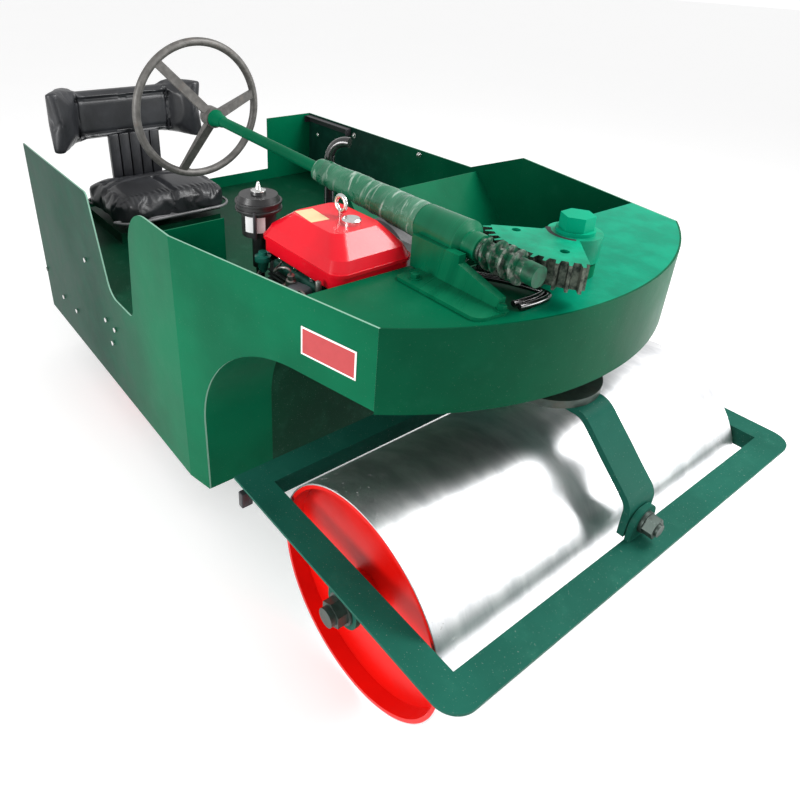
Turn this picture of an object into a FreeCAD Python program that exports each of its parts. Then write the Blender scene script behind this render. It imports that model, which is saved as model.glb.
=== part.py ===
import FreeCAD, Part
import Sketcher
import math
import os
from FreeCAD import Placement, Rotation, Vector

# Ride-on pitch roller with a steered front drum.
# +X is forward, +Y is the driver's left, +Z is up. The origin is on the ground, below the
# middle of the machine. All lengths are in millimetres and all angles in degrees.

# Driving dimensions: alias, value
SIZES = (
    ("front_axle_x", 880),
    ("rear_axle_x", -620),
    ("drum_radius", 300),
    ("drum_length", 1245),
    ("rear_drum_length", 1040),
    ("drum_recess", 45),
    ("drum_rim", 14),
    ("hub_radius", 62),
    ("hub_stand", 30),
    ("axle_radius", 25),
    ("axle_play", 0.05),
    ("plate", 5),
    ("hull_rear_x", -1230),
    ("hull_half_width", 706),
    ("hull_bottom_z", 218),
    ("deck_z", 1024),
    ("left_wall_z", 927),
    ("right_rear_z", 954),
    ("fold_x", 162),
    ("nose_corner_x", 844),
    ("nose_corner_y", 562),
    ("nose_tip_x", 1040),
    ("nose_bottom_z", 811),
    ("nose_radius", 905),
    ("deck_rear_x", 680),
    ("arch_radius", 350),
    ("arch_edge_x", 253),
    ("entry_rear_x", -494),
    ("entry_slope", 110),
    ("entry_front_x", -183),
    ("entry_lean", 62),
    ("entry_sill_z", 620),
    ("entry_round", 150),
    ("floor_z", 620),
    ("bulkhead_x", 110),
    ("pan_z", 746),
    ("pan_right_y", -455),
    ("pan_left_y", 300),
    ("pan_side", 80),
    ("rear_low_z", 673),
    ("rear_step_y", 444),
    ("ring_half_long", 410),
    ("ring_half_wide", 713),
    ("ring_flange", 78),
    ("ring_plate", 8),
    ("ring_leg", 55),
    ("ring_z", 440),
    ("ring_corner", 60),
    ("lug_width", 110),
    ("lug_plate", 14),
    ("yoke_width", 105),
    ("yoke_plate", 18),
    ("yoke_bend_x", 150),
    ("yoke_top_z", 698),
    ("pin_radius", 17),
    ("pin_z", 485),
    ("turntable_radius", 140),
    ("turntable_plate", 22),
    ("kingpin_radius", 38),
    ("housing_wall", 22),
    ("beam_half_long", 70),
    ("beam_height", 190),
    ("sector_radius", 215),
    ("sector_teeth", 48),
    ("sector_half_angle", 45),
    ("sector_rim", 62),
    ("sector_web", 24),
    ("sector_top_z", 1125),
    ("tooth_depth", 20),
    ("worm_radius", 38),
    ("worm_core", 24),
    ("worm_length", 116),
    ("worm_z", 1108),
    ("mesh_gap", 3),
    ("column_tilt", 2.1),
    ("shaft_radius", 17),
    ("sleeve_rear_radius", 34),
    ("sleeve_front_radius", 46),
    ("sleeve_rear", 693),
    ("sleeve_front", 248),
    ("barrel_radius", 52),
    ("wheel_radius", 245),
    ("wheel_tube", 14),
    ("wheel_dish", 107),
    ("wheel_reach", 1343),
    ("seat_y", -282),
    ("seat_front_x", -735),
    ("seat_width", 500),
    ("seat_depth", 400),
    ("back_width", 660),
    ("back_shift", -33),
    ("seat_z", 722),
    ("seat_post", 35),
    ("soft_gap", 0.3),
    ("tank_length", 336),
    ("tank_width", 245),
    ("tank_z", 1004),
    ("tank_x", 477),
    ("tank_y", -400),
    ("engine_length", 430),
    ("engine_width", 280),
    ("flywheel_radius", 128),
    ("exhaust_radius", 15),
    ("silencer_radius", 42),
    ("exhaust_x", 165),
    ("exhaust_y", -190),
    ("exhaust_top_z", 1219),
)


class Size(float):
    """A number that also carries the expression it comes from, so a property can be bound to it."""

    def __new__(cls, value, text):
        size = float.__new__(cls, value)
        size.text = text
        return size

    def __add__(self, other):
        return Size(float(self) + float(other), f"({self.text} + {text_of(other)})")

    def __radd__(self, other):
        return Size(float(other) + float(self), f"({text_of(other)} + {self.text})")

    def __sub__(self, other):
        return Size(float(self) - float(other), f"({self.text} - {text_of(other)})")

    def __rsub__(self, other):
        return Size(float(other) - float(self), f"({text_of(other)} - {self.text})")

    def __mul__(self, other):
        return Size(float(self) * float(other), f"({self.text} * {text_of(other)})")

    def __rmul__(self, other):
        return Size(float(other) * float(self), f"({text_of(other)} * {self.text})")

    def __truediv__(self, other):
        return Size(float(self) / float(other), f"({self.text} / {text_of(other)})")

    def __neg__(self):
        return Size(-float(self), f"(-{self.text})")


def text_of(number):
    return number.text if isinstance(number, Size) else f"{float(number):.6f}"


doc = FreeCAD.newDocument("pitch_roller")
sheet = doc.addObject("Spreadsheet::Sheet", "Dims")
for row, (alias, value) in enumerate(SIZES, start=1):
    sheet.set(f"A{row}", alias)
    sheet.set(f"B{row}", str(value))
    sheet.setAlias(f"B{row}", alias)
doc.recompute()


class Dims:
    """Attribute access to the sheet's cells as Size numbers."""

    def __getattr__(self, alias):
        return Size(sheet.get(alias), f"Dims.{alias}")


d = Dims()
pieces = []


def keep(piece, label):
    """Names a finished sub-part and puts it on the list that is written out."""
    piece.Label = label
    pieces.append(piece)
    return piece


def bind(thing, **values):
    """Sets properties of an object from Size numbers, as expressions."""
    for name, number in values.items():
        path = name.replace("_at_", ".")
        thing.setExpression(path, text_of(number))
    return thing


def place(thing, x, y, z):
    for axis, number in zip("xyz", (x, y, z)):
        thing.setExpression(f"Placement.Base.{axis}", text_of(number))
    return thing


def box(name, low, size):
    """A Part box from its lowest corner and its size."""
    solid = doc.addObject("Part::Box", name)
    bind(solid, Length=size[0], Width=size[1], Height=size[2])
    return place(solid, *low)


def cylinder(name, base, radius, height, axis="z"):
    """A Part cylinder along +X, +Y or +Z from the centre of its base."""
    solid = doc.addObject("Part::Cylinder", name)
    turn = {"z": Rotation(), "x": Rotation(Vector(0, 1, 0), 90), "y": Rotation(Vector(1, 0, 0), -90)}
    solid.Placement = Placement(Vector(), turn[axis])
    bind(solid, Radius=radius, Height=height)
    return place(solid, *base)


def fuse(name, *shapes):
    joined = doc.addObject("Part::MultiFuse", name)
    joined.Shapes = list(shapes)
    joined.Refine = True
    return joined


def cut(name, base, tool):
    piece = doc.addObject("Part::Cut", name)
    piece.Base = base
    piece.Tool = tool
    return piece


def common(name, *shapes):
    piece = doc.addObject("Part::MultiCommon", name)
    piece.Shapes = list(shapes)
    return piece


def feature(label, shape, at=None):
    """A sub-part whose shape is worked out here from the sheet's sizes."""
    piece = doc.addObject("Part::Feature", label)
    piece.Shape = shape
    piece.Placement = at.multiply(shape.Placement) if at else shape.Placement
    return keep(piece, label)


def origin_plane(body, role):
    return next(item for item in body.Origin.OriginFeatures if item.Role == role)


def sketch_on(body, role, name):
    sketch = body.newObject("Sketcher::SketchObject", name)
    sketch.AttachmentSupport = [(origin_plane(body, role), "")]
    sketch.MapMode = "FlatFace"
    return sketch


def polygon(sketch, points):
    """A closed outline of straight lines, each corner tied to the sheet by two distances."""
    count = len(points)
    for index, point in enumerate(points):
        ahead = points[(index + 1) % count]
        start, end = Vector(point[0], point[1], 0), Vector(ahead[0], ahead[1], 0)
        sketch.addGeometry(Part.LineSegment(start, end), False)
    for index in range(count):
        ahead = (index + 1) % count
        sketch.addConstraint(Sketcher.Constraint("Coincident", index, 2, ahead, 1))
    for index, point in enumerate(points):
        for kind, number in (("DistanceX", point[0]), ("DistanceY", point[1])):
            rule = Sketcher.Constraint(kind, -1, 1, index, 1, float(number))
            place_in_list = sketch.addConstraint(rule)
            sketch.setExpression(f"Constraints[{place_in_list}]", text_of(number))
    return sketch


def pad_body(label, role, points, length, both_ways=False):
    """A PartDesign body: one outline padded by a length."""
    body = doc.addObject("PartDesign::Body", label + "_body")
    sketch = polygon(sketch_on(body, role, label + "_outline"), points)
    pad = body.newObject("PartDesign::Pad", label + "_pad")
    pad.Profile = sketch
    pad.Midplane = both_ways
    bind(pad, Length=length)
    return body


def revolve_body(label, points, sketch_role="XZ_Plane", axis="V_Axis"):
    """A PartDesign body turned about the sketch's upright or level axis."""
    body = doc.addObject("PartDesign::Body", label + "_body")
    sketch = polygon(sketch_on(body, sketch_role, label + "_profile"), points)
    turned = body.newObject("PartDesign::Revolution", label + "_turned")
    turned.Profile = sketch
    turned.ReferenceAxis = (sketch, [axis])
    turned.Angle = 360
    return body


def wire_of(points):
    """A closed wire from (x, y) corners, where a third number rounds that corner."""
    count = len(points)
    entries = []
    for index, point in enumerate(points):
        here = Vector(point[0], point[1], 0)
        radius = float(point[2]) if len(point) > 2 else 0.0
        if radius <= 0:
            entries.append((here, here, None))
            continue
        before = Vector(points[index - 1][0], points[index - 1][1], 0)
        after = Vector(points[(index + 1) % count][0], points[(index + 1) % count][1], 0)
        back, ahead = (before - here).normalize(), (after - here).normalize()
        half = back.getAngle(ahead) / 2
        reach = radius / math.tan(half)
        middle = (back + ahead).normalize()
        bulge = here + middle * (radius / math.sin(half) - radius)
        entries.append((here + back * reach, here + ahead * reach, bulge))
    edges = []
    for index, (start, end, bulge) in enumerate(entries):
        if bulge is not None:
            edges.append(Part.Arc(start, bulge, end).toShape())
        ahead = entries[(index + 1) % count][0]
        if (ahead - end).Length > 1e-6:
            edges.append(Part.LineSegment(end, ahead).toShape())
    return Part.Wire(edges)


# Turns a flat drawing into the upright planes: drawing (x, y) becomes (X, Z) or (Y, Z)
UPRIGHT_XZ = Placement(Vector(), Rotation(Vector(1, 0, 0), Vector(0, 0, 1), Vector(0, -1, 0)))
UPRIGHT_YZ = Placement(Vector(), Rotation(Vector(0, 1, 0), Vector(0, 0, 1), Vector(1, 0, 0)))


def slab(points, start, thick, plane=None, holes=()):
    """A flat plate of an outline, from start along the plane's normal."""
    face = Part.Face(wire_of(points))
    for hole in holes:
        face = face.cut(Part.Face(wire_of(hole)))
    solid = face.extrude(Vector(0, 0, thick))
    solid.translate(Vector(0, 0, start))
    return solid if plane is None else solid.transformed(plane.toMatrix())


def plate_xz(points, y, thick, holes=()):
    """An upright plate seen from the side: outline in X and Z, from y to y + thick."""
    return slab(points, -(y + thick), thick, UPRIGHT_XZ, holes)


def plate_yz(points, x, thick, holes=()):
    """An upright plate seen from the front: outline in Y and Z, from x to x + thick."""
    return slab(points, x, thick, UPRIGHT_YZ, holes)


def mirror_y(shape):
    return shape.mirror(Vector(), Vector(0, 1, 0))


# Hull plan: half widths of the outer and inner faces

def taper_direction():
    return Vector(d.nose_corner_x - d.fold_x, d.nose_corner_y - d.hull_half_width, 0).normalize()


def side_y(x, inset=0.0):
    """Half width of the hull's tapered side at x, moved inwards by inset."""
    slope = (d.nose_corner_y - d.hull_half_width) / (d.nose_corner_x - d.fold_x)
    along = taper_direction()
    return d.hull_half_width + (x - d.fold_x) * slope - inset / along.x


def nose_centre():
    return d.nose_tip_x - d.nose_radius


def nose_arc(radius, end_y):
    """Start, middle and end of a nose arc that ends at half width end_y."""
    reach = nose_centre() + math.sqrt(radius ** 2 - end_y ** 2)
    return Vector(reach, -end_y, 0), Vector(nose_centre() + radius, 0, 0), Vector(reach, end_y, 0)


def tapered_plan():
    """The corners in plan of the tapered part of the left side plate."""
    inner_fold = d.hull_half_width - d.plate
    return [(d.fold_x, d.hull_half_width), (d.nose_corner_x, d.nose_corner_y),
            (d.nose_corner_x, side_y(d.nose_corner_x, d.plate)), (d.fold_x, inner_fold)]


def side_panel(upper_outline):
    """The left side plate: a flat rear part, a tapered front part and the drum's arch cut out."""
    flat = plate_xz(upper_outline, d.hull_half_width - d.plate, d.plate)
    height = d.deck_z - d.hull_bottom_z
    taper = slab(tapered_plan(), d.hull_bottom_z, height)
    arch_top = d.nose_bottom_z + 8
    arch = wire_of([(d.arch_edge_x, d.hull_bottom_z - 50), (d.nose_corner_x + 50, d.hull_bottom_z - 50),
                    (d.nose_corner_x + 50, arch_top), (d.arch_edge_x, arch_top, d.arch_radius)])
    tool = Part.Face(arch).extrude(Vector(0, 0, d.hull_half_width))
    tool = tool.transformed(UPRIGHT_XZ.toMatrix())
    tool.translate(Vector(0, d.hull_half_width + 20, 0))
    return flat.fuse(taper.cut(tool)).removeSplitter()


def right_panel():
    top, low = d.deck_z, d.hull_bottom_z
    outline = [(d.hull_rear_x, low), (d.fold_x, low), (d.fold_x, top),
               (d.entry_front_x + d.entry_lean, top, d.entry_round),
               (d.entry_front_x, d.entry_sill_z, 40),
               (d.entry_rear_x + d.entry_slope, d.entry_sill_z, 70),
               (d.entry_rear_x, d.right_rear_z, 25), (d.hull_rear_x, d.right_rear_z)]
    feature("right_side_panel", mirror_y(side_panel(outline)))


def left_panel():
    low = d.hull_bottom_z
    rise_front, rise_rear = d.fold_x, d.fold_x - 250
    outline = [(d.hull_rear_x, low), (d.fold_x, low), (rise_front, d.deck_z),
               (rise_rear, d.left_wall_z), (d.hull_rear_x, d.left_wall_z)]
    feature("left_side_panel", side_panel(outline))


def nose_panel():
    """The rolled plate round the nose, from one front corner to the other."""
    outer = nose_arc(float(d.nose_radius), float(d.nose_corner_y))
    inner = nose_arc(d.nose_radius - d.plate, side_y(d.nose_corner_x, d.plate))
    wire = Part.Wire([Part.Arc(*outer).toShape(), Part.LineSegment(outer[2], inner[2]).toShape(),
                      Part.Arc(*inner).toShape(), Part.LineSegment(inner[0], outer[0]).toShape()])
    solid = Part.Face(wire).extrude(Vector(0, 0, d.deck_z - d.nose_bottom_z))
    solid.translate(Vector(0, 0, d.nose_bottom_z))
    side = slab(tapered_plan(), d.hull_bottom_z, d.deck_z)
    feature("nose_panel", solid.cut([side, mirror_y(side)]))


def nose_deck():
    """The deck plate inside the side and nose plates, open round the sector and the worm."""
    arc = nose_arc(d.nose_radius - d.plate, side_y(d.nose_corner_x, d.plate))
    rear, rear_right = d.deck_rear_x, d.deck_rear_x - 40
    points = [Vector(rear_right, -side_y(rear_right, d.plate), 0), arc[0], arc[2],
              Vector(rear, side_y(rear, d.plate), 0)]
    wire = Part.Wire([Part.LineSegment(points[0], arc[0]).toShape(), Part.Arc(*arc).toShape(),
                      Part.LineSegment(arc[2], points[3]).toShape(),
                      Part.LineSegment(points[3], points[0]).toShape()])
    solid = Part.Face(wire).extrude(Vector(0, 0, d.plate))
    solid.translate(Vector(0, 0, d.deck_z - d.plate))
    bore = Part.makeCylinder(d.kingpin_radius + d.housing_wall, 40,
                             Vector(d.front_axle_x, 0, d.deck_z - 20))
    slot_y = -(d.sector_radius + d.worm_radius)
    slot = slab([(rear_right - 10, slot_y - 28), (d.front_axle_x + 80, slot_y - 28, 30),
                 (d.front_axle_x + 80, slot_y + 103, 30), (rear_right - 10, slot_y + 103)],
                d.deck_z - 20, 40)
    feature("nose_deck", solid.cut(bore).cut(slot))


def rear_panel():
    inner = d.hull_half_width - d.plate
    outline = [(-inner, d.hull_bottom_z), (inner, d.hull_bottom_z), (inner, d.left_wall_z),
               (d.rear_step_y, d.left_wall_z), (d.rear_step_y, d.rear_low_z), (-inner, d.rear_low_z)]
    body = pad_body("rear_panel", "YZ_Plane", outline, d.plate)
    keep(place(body, d.hull_rear_x, 0, 0), "rear_panel")


def floor_plate():
    inner = d.hull_half_width - d.plate
    low = (d.hull_rear_x + d.plate, -inner, d.floor_z - d.plate)
    size = (d.bulkhead_x - d.hull_rear_x - d.plate, inner * 2, d.plate)
    keep(box("floor", low, size), "floor_plate")


def front_bulkhead():
    """The upright plate behind the front drum, with a tall strip at the driver's right."""
    inner = d.hull_half_width - d.plate
    strip = -inner + 185
    top = d.deck_z - 5
    outline = [(-inner, d.hull_bottom_z), (inner, d.hull_bottom_z), (inner, d.pan_z),
               (strip, d.pan_z), (strip, top), (-inner, top)]
    body = pad_body("front_bulkhead", "YZ_Plane", outline, d.plate)
    keep(place(body, d.bulkhead_x, 0, 0), "front_bulkhead")


def sloped_bulkhead():
    """The steep plate at the left, from the bulkhead's top back to the low wall's edge."""
    lean = 165
    foot_x, foot_z = d.bulkhead_x + d.plate, d.pan_z
    head_x, head_z = d.bulkhead_x + d.plate - lean, d.left_wall_z - 8
    outline = [(foot_x - d.plate, foot_z), (foot_x, foot_z), (head_x, head_z), (head_x - d.plate, head_z)]
    width = d.hull_half_width - d.plate - 60
    feature("sloped_bulkhead", plate_xz(outline, 60, width))


def arch_liner():
    """The curved sheet inside the arch, from the side plate inwards to the engine pan's side."""
    top = d.nose_bottom_z + 8
    outer, wall = d.arch_edge_x, d.plate
    foot = d.hull_bottom_z
    front = d.deck_rear_x
    outline = [(outer - wall, foot), (outer, foot), (outer, top, d.arch_radius), (front, top),
               (front, top + wall), (outer - wall, top + wall, d.arch_radius + wall)]
    inner_y = d.pan_right_y * -1 + d.plate
    sheet_solid = plate_xz(outline, inner_y, d.hull_half_width - d.plate - inner_y)
    outside = slab([(d.fold_x - 30, d.hull_half_width - d.plate), (d.fold_x, d.hull_half_width - d.plate),
                    (d.nose_corner_x, side_y(d.nose_corner_x, d.plate)),
                    (d.nose_corner_x, d.hull_half_width + 50), (d.fold_x - 30, d.hull_half_width + 50)],
                   0, 2000)
    return sheet_solid.cut(outside)


def drum_guard():
    """The upright plate behind the front drum, between the two arch liners."""
    half = d.plate - d.pan_right_y
    low = (d.arch_edge_x - d.plate, -half, d.hull_bottom_z)
    keep(box("guard", low, (d.plate, half * 2, d.pan_z - d.hull_bottom_z)), "drum_guard")


def engine_pan():
    """The pan that carries the engine: a floor, two upright sides and a tall front wall."""
    rear, front = d.bulkhead_x + d.plate, d.front_axle_x - d.beam_half_long - 85
    wall, high = d.plate, d.pan_side
    right, left = d.pan_right_y, d.pan_left_y
    profile = [(right, d.pan_z), (left, d.pan_z), (left, d.pan_z + high), (left - wall, d.pan_z + high),
               (left - wall, d.pan_z + wall), (right + wall, d.pan_z + wall),
               (right + wall, d.pan_z + high), (right, d.pan_z + high)]
    body = pad_body("engine_pan", "YZ_Plane", profile, front - rear)
    place(body, rear, 0, 0)
    wall_box = box("engine_pan_front", (front, right, d.pan_z), (wall, left - right, d.deck_z - wall - d.pan_z))
    keep(fuse("engine_pan_all", body, wall_box), "engine_pan")


def kingpin_beam():
    """The cross-member under the deck, cut for the kingpin's housing."""
    rear = d.front_axle_x - d.beam_half_long
    half = d.nose_corner_y - d.plate - 4
    low = d.deck_z - d.plate - d.beam_height
    outer = box("beam_outer", (rear, -half, low), (d.beam_half_long * 2, half * 2, d.beam_height))
    inner = box("beam_inner", (rear + 8, -half - 5, low - 5),
                (d.beam_half_long * 2 - 16, half * 2 + 10, d.beam_height - 3))
    bore = cylinder("beam_bore", (d.front_axle_x, 0, low - 10), d.kingpin_radius + d.housing_wall, 400)
    channel = cut("beam_cut", cut("beam_channel", outer, inner), bore)
    inside = cylinder("beam_nose_line", (d.nose_tip_x - d.nose_radius, 0, low - 10),
                      d.nose_radius - d.plate, d.beam_height + 20)
    keep(common("beam_all", channel, inside), "kingpin_beam")


def kingpin_housing():
    """The bearing tube that holds the kingpin, through the beam and the deck."""
    low = d.yoke_top_z + d.yoke_plate + d.turntable_plate + 6
    high = d.sector_top_z - d.sector_rim - 6
    wall = d.kingpin_radius + d.housing_wall
    bore = d.kingpin_radius + d.axle_play
    profile = [(bore, low), (wall, low), (wall, high), (bore, high)]
    body = revolve_body("kingpin_housing", profile)
    keep(place(body, d.front_axle_x, 0, 0), "kingpin_housing")


def seat_pedestal():
    """The folded sheet box below the seat, open at its underside."""
    top = d.seat_z - 25 - d.seat_post
    front, rear = d.seat_front_x - 60, d.hull_rear_x + d.plate + 60
    half = d.seat_width / 2 - 30
    outer = box("pedestal_outer", (rear, d.seat_y - half, d.floor_z), (front - rear, half * 2, top - d.floor_z))
    inner = box("pedestal_inner", (rear + 4, d.seat_y - half + 4, d.floor_z - 5),
                (front - rear - 8, half * 2 - 8, top - d.floor_z + 1))
    keep(cut("pedestal_all", outer, inner), "seat_pedestal")


def rear_axle():
    end = d.hull_half_width - d.plate - 12
    body = revolve_body("rear_axle", [(0, -end), (d.axle_radius, -end), (d.axle_radius, end), (0, end)])
    body.Placement = Placement(Vector(), Rotation(Vector(1, 0, 0), 90))
    keep(place(body, d.rear_axle_x, 0, d.drum_radius), "rear_axle")


def rear_axle_brackets():
    """Two deep plates that hang from the floor beside the drum and hold the axle."""
    low = d.drum_radius - 62
    high = d.floor_z - d.plate
    outline = [(d.rear_axle_x - 70, low, 60), (d.rear_axle_x + 70, low, 60),
               (d.rear_axle_x + 130, high), (d.rear_axle_x - 130, high)]
    start = d.rear_drum_length / 2 + 17
    plate = plate_xz(outline, start, 18)
    bore = Part.makeCylinder(d.axle_radius, 100, Vector(d.rear_axle_x, start - 20, d.drum_radius), Vector(0, 1, 0))
    left = plate.cut(bore)
    feature("rear_axle_brackets", Part.makeCompound([left, mirror_y(left)]))


def tow_bracket():
    """Two ears with a pin hole, on the middle of the rear panel."""
    ear, gap, hole, reach = 12, 36, 13, 60
    z = d.hull_bottom_z + 130
    back = d.hull_rear_x
    outline = [(back - reach, z - 32, 30), (back - reach, z + 32, 30), (back - 8, z + 60), (back - 8, z - 60)]
    bore = Part.makeCylinder(hole, 200, Vector(back - reach + 30, -100, z), Vector(0, 1, 0))
    ears = [plate_xz(outline, side * (gap + ear) / 2 - ear / 2, ear).cut(bore) for side in (-1, 1)]
    foot = Part.makeBox(8, 110, 150, Vector(back - 8, -55, z - 75))
    feature("tow_bracket", foot.fuse(ears).removeSplitter())


# Front running gear, steered about the kingpin

def drum(label, axle_x, length):
    """A drum with recessed ends, raised hubs and a bore for its axle."""
    end = length / 2
    face = end - d.drum_recess
    hub = face + d.hub_stand
    bore = d.axle_radius + d.axle_play
    rim = d.drum_radius - d.drum_rim
    profile = [(bore, -hub), (d.hub_radius, -hub), (d.hub_radius, -face), (rim, -face), (rim, -end),
               (d.drum_radius, -end), (d.drum_radius, end), (rim, end), (rim, face), (d.hub_radius, face),
               (d.hub_radius, hub), (bore, hub)]
    body = revolve_body(label, profile)
    body.Placement = Placement(Vector(), Rotation(Vector(1, 0, 0), 90))
    keep(place(body, axle_x, 0, d.drum_radius), label)


def ring_frame():
    """The flange frame round the front drum, with its inner leg, axle lugs and pin lugs."""
    x, y = d.ring_half_long, d.ring_half_wide
    ix, iy = x - d.ring_flange, y - d.ring_flange
    plate, leg = d.ring_plate, d.ring_leg
    outer = [(-x, -y), (x, -y, d.ring_corner), (x, y, d.ring_corner), (-x, y)]
    inner = [(-ix, -iy), (ix, -iy), (ix, iy), (-ix, iy)]
    legs = [(-ix - plate, -iy - plate), (ix + plate, -iy - plate),
            (ix + plate, iy + plate), (-ix - plate, iy + plate)]
    frame = slab(outer, d.ring_z - plate, plate, holes=(inner,))
    frame = frame.fuse(slab(legs, d.ring_z - leg, leg, holes=(inner,)))
    half = d.lug_width / 2
    lug = plate_xz([(-half, d.drum_radius - half, half - 1), (half, d.drum_radius - half, half - 1),
                    (half, d.ring_z - plate / 2), (-half, d.ring_z - plate / 2)], iy + plate - 1, d.lug_plate)
    lug = lug.cut(Part.makeCylinder(d.axle_radius, 200, Vector(0, iy - 50, d.drum_radius), Vector(0, 1, 0)))
    pin_lug = plate_yz([(-48, d.ring_z - leg), (48, d.ring_z - leg), (48, d.pin_z + 40, 40),
                        (-48, d.pin_z + 40, 40)], ix, plate + 6)
    pin_lug = pin_lug.cut(Part.makeCylinder(d.pin_radius, 200, Vector(ix - 50, 0, d.pin_z), Vector(1, 0, 0)))
    turned = pin_lug.mirror(Vector(), Vector(1, 0, 0))
    solid = frame.fuse([lug, mirror_y(lug), pin_lug, turned])
    hole = Part.makeCylinder(d.pin_radius, 2 * x, Vector(-x, 0, d.pin_z), Vector(1, 0, 0))
    solid = solid.cut(hole).removeSplitter()
    feature("ring_frame", solid, Placement(Vector(d.front_axle_x, 0, 0), Rotation()))


def yoke():
    """The bent strap over the drum, from the front pin to the rear pin."""
    thick = d.yoke_plate
    foot_x = d.ring_half_long - d.ring_flange - 2
    foot_z = d.pin_z - 36
    top = d.yoke_top_z + thick
    knee = foot_z + 95
    outer = [(-foot_x, foot_z), (-foot_x, knee, 60), (-d.yoke_bend_x - 8, top, 60),
             (d.yoke_bend_x + 8, top, 60), (foot_x, knee, 60), (foot_x, foot_z)]
    inner = [(foot_x - thick, foot_z), (foot_x - thick, knee - 6, 42), (d.yoke_bend_x, top - thick, 42),
             (-d.yoke_bend_x, top - thick, 42), (-foot_x + thick, knee - 6, 42), (-foot_x + thick, foot_z)]
    strap = plate_xz(outer + inner, -d.yoke_width / 2, d.yoke_width)
    holes = Part.makeCylinder(d.pin_radius, 1000, Vector(-500, 0, d.pin_z), Vector(1, 0, 0))
    feature("yoke", strap.cut(holes), Placement(Vector(d.front_axle_x, 0, 0), Rotation()))


def yoke_pins():
    """The front and rear pins, each with a flat head inside and washers and a nut outside."""
    start = d.ring_half_long - d.ring_flange - 2 - d.yoke_plate - 8
    washer = d.ring_half_long - d.ring_flange + d.ring_plate + 6
    pin = Part.makeCylinder(d.pin_radius, washer + 42 - start, Vector(start, 0, d.pin_z), Vector(1, 0, 0))
    head = Part.makeCylinder(27, 8, Vector(start, 0, d.pin_z), Vector(1, 0, 0))
    ring = Part.makeCylinder(30, 9, Vector(washer, 0, d.pin_z), Vector(1, 0, 0))
    nut = hex_prism(24, 26, Vector(washer + 9, 0, d.pin_z), "x")
    front = pin.fuse([head, ring, nut]).removeSplitter()
    rear = front.mirror(Vector(), Vector(1, 0, 0))
    feature("yoke_pins", Part.makeCompound([front, rear]), Placement(Vector(d.front_axle_x, 0, 0), Rotation()))


def hex_prism(flat, height, base, axis="z"):
    """A nut: flat is half of its size across the flats."""
    points = []
    for step in range(6):
        angle = math.radians(step * 60 + 30)
        reach = flat / math.cos(math.radians(30))
        points.append((reach * math.cos(angle), reach * math.sin(angle)))
    solid = slab(points, 0, height)
    turn = {"z": Rotation(), "x": Rotation(Vector(0, 1, 0), 90), "y": Rotation(Vector(1, 0, 0), -90)}
    return solid.transformed(Placement(base, turn[axis]).toMatrix())


def turntable():
    """The round crown plate on the yoke, with a bored boss for the kingpin."""
    low = d.yoke_top_z + d.yoke_plate
    plate = cylinder("crown", (d.front_axle_x, 0, low), d.turntable_radius, d.turntable_plate)
    bore = cylinder("crown_bore", (d.front_axle_x, 0, low - 10), d.kingpin_radius, 100)
    keep(cut("crown_all", plate, bore), "turntable")


def kingpin():
    low, high = d.yoke_top_z + d.yoke_plate, d.sector_top_z
    stud = d.kingpin_radius - 12
    body = revolve_body("kingpin", [(0, low), (d.kingpin_radius, low), (d.kingpin_radius, high),
                                    (stud, high), (stud, high + 42), (0, high + 42)])
    keep(place(body, d.front_axle_x, 0, 0), "kingpin")


def front_axle():
    end = d.ring_half_wide - 8
    body = revolve_body("front_axle", [(0, -end), (d.axle_radius, -end), (d.axle_radius, end), (0, end)])
    body.Placement = Placement(Vector(), Rotation(Vector(1, 0, 0), 90))
    keep(place(body, d.front_axle_x, 0, d.drum_radius), "front_axle")


def axle_nuts():
    """A washer and a nut at each end of the front axle."""
    face = d.ring_half_wide - d.ring_flange + d.ring_plate - 1 + d.lug_plate
    washer = Part.makeCylinder(42, 6, Vector(0, face, d.drum_radius), Vector(0, 1, 0))
    nut = hex_prism(31, 28, Vector(0, face + 6, d.drum_radius), "y")
    bore = Part.makeCylinder(d.axle_radius, 200, Vector(0, face - 50, d.drum_radius), Vector(0, 1, 0))
    left = washer.fuse(nut).cut(bore)
    feature("axle_nuts", Part.makeCompound([left, mirror_y(left)]), Placement(Vector(d.front_axle_x, 0, 0), Rotation()))


# Steering gear

def tooth_pitch():
    return 360 / d.sector_teeth


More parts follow.
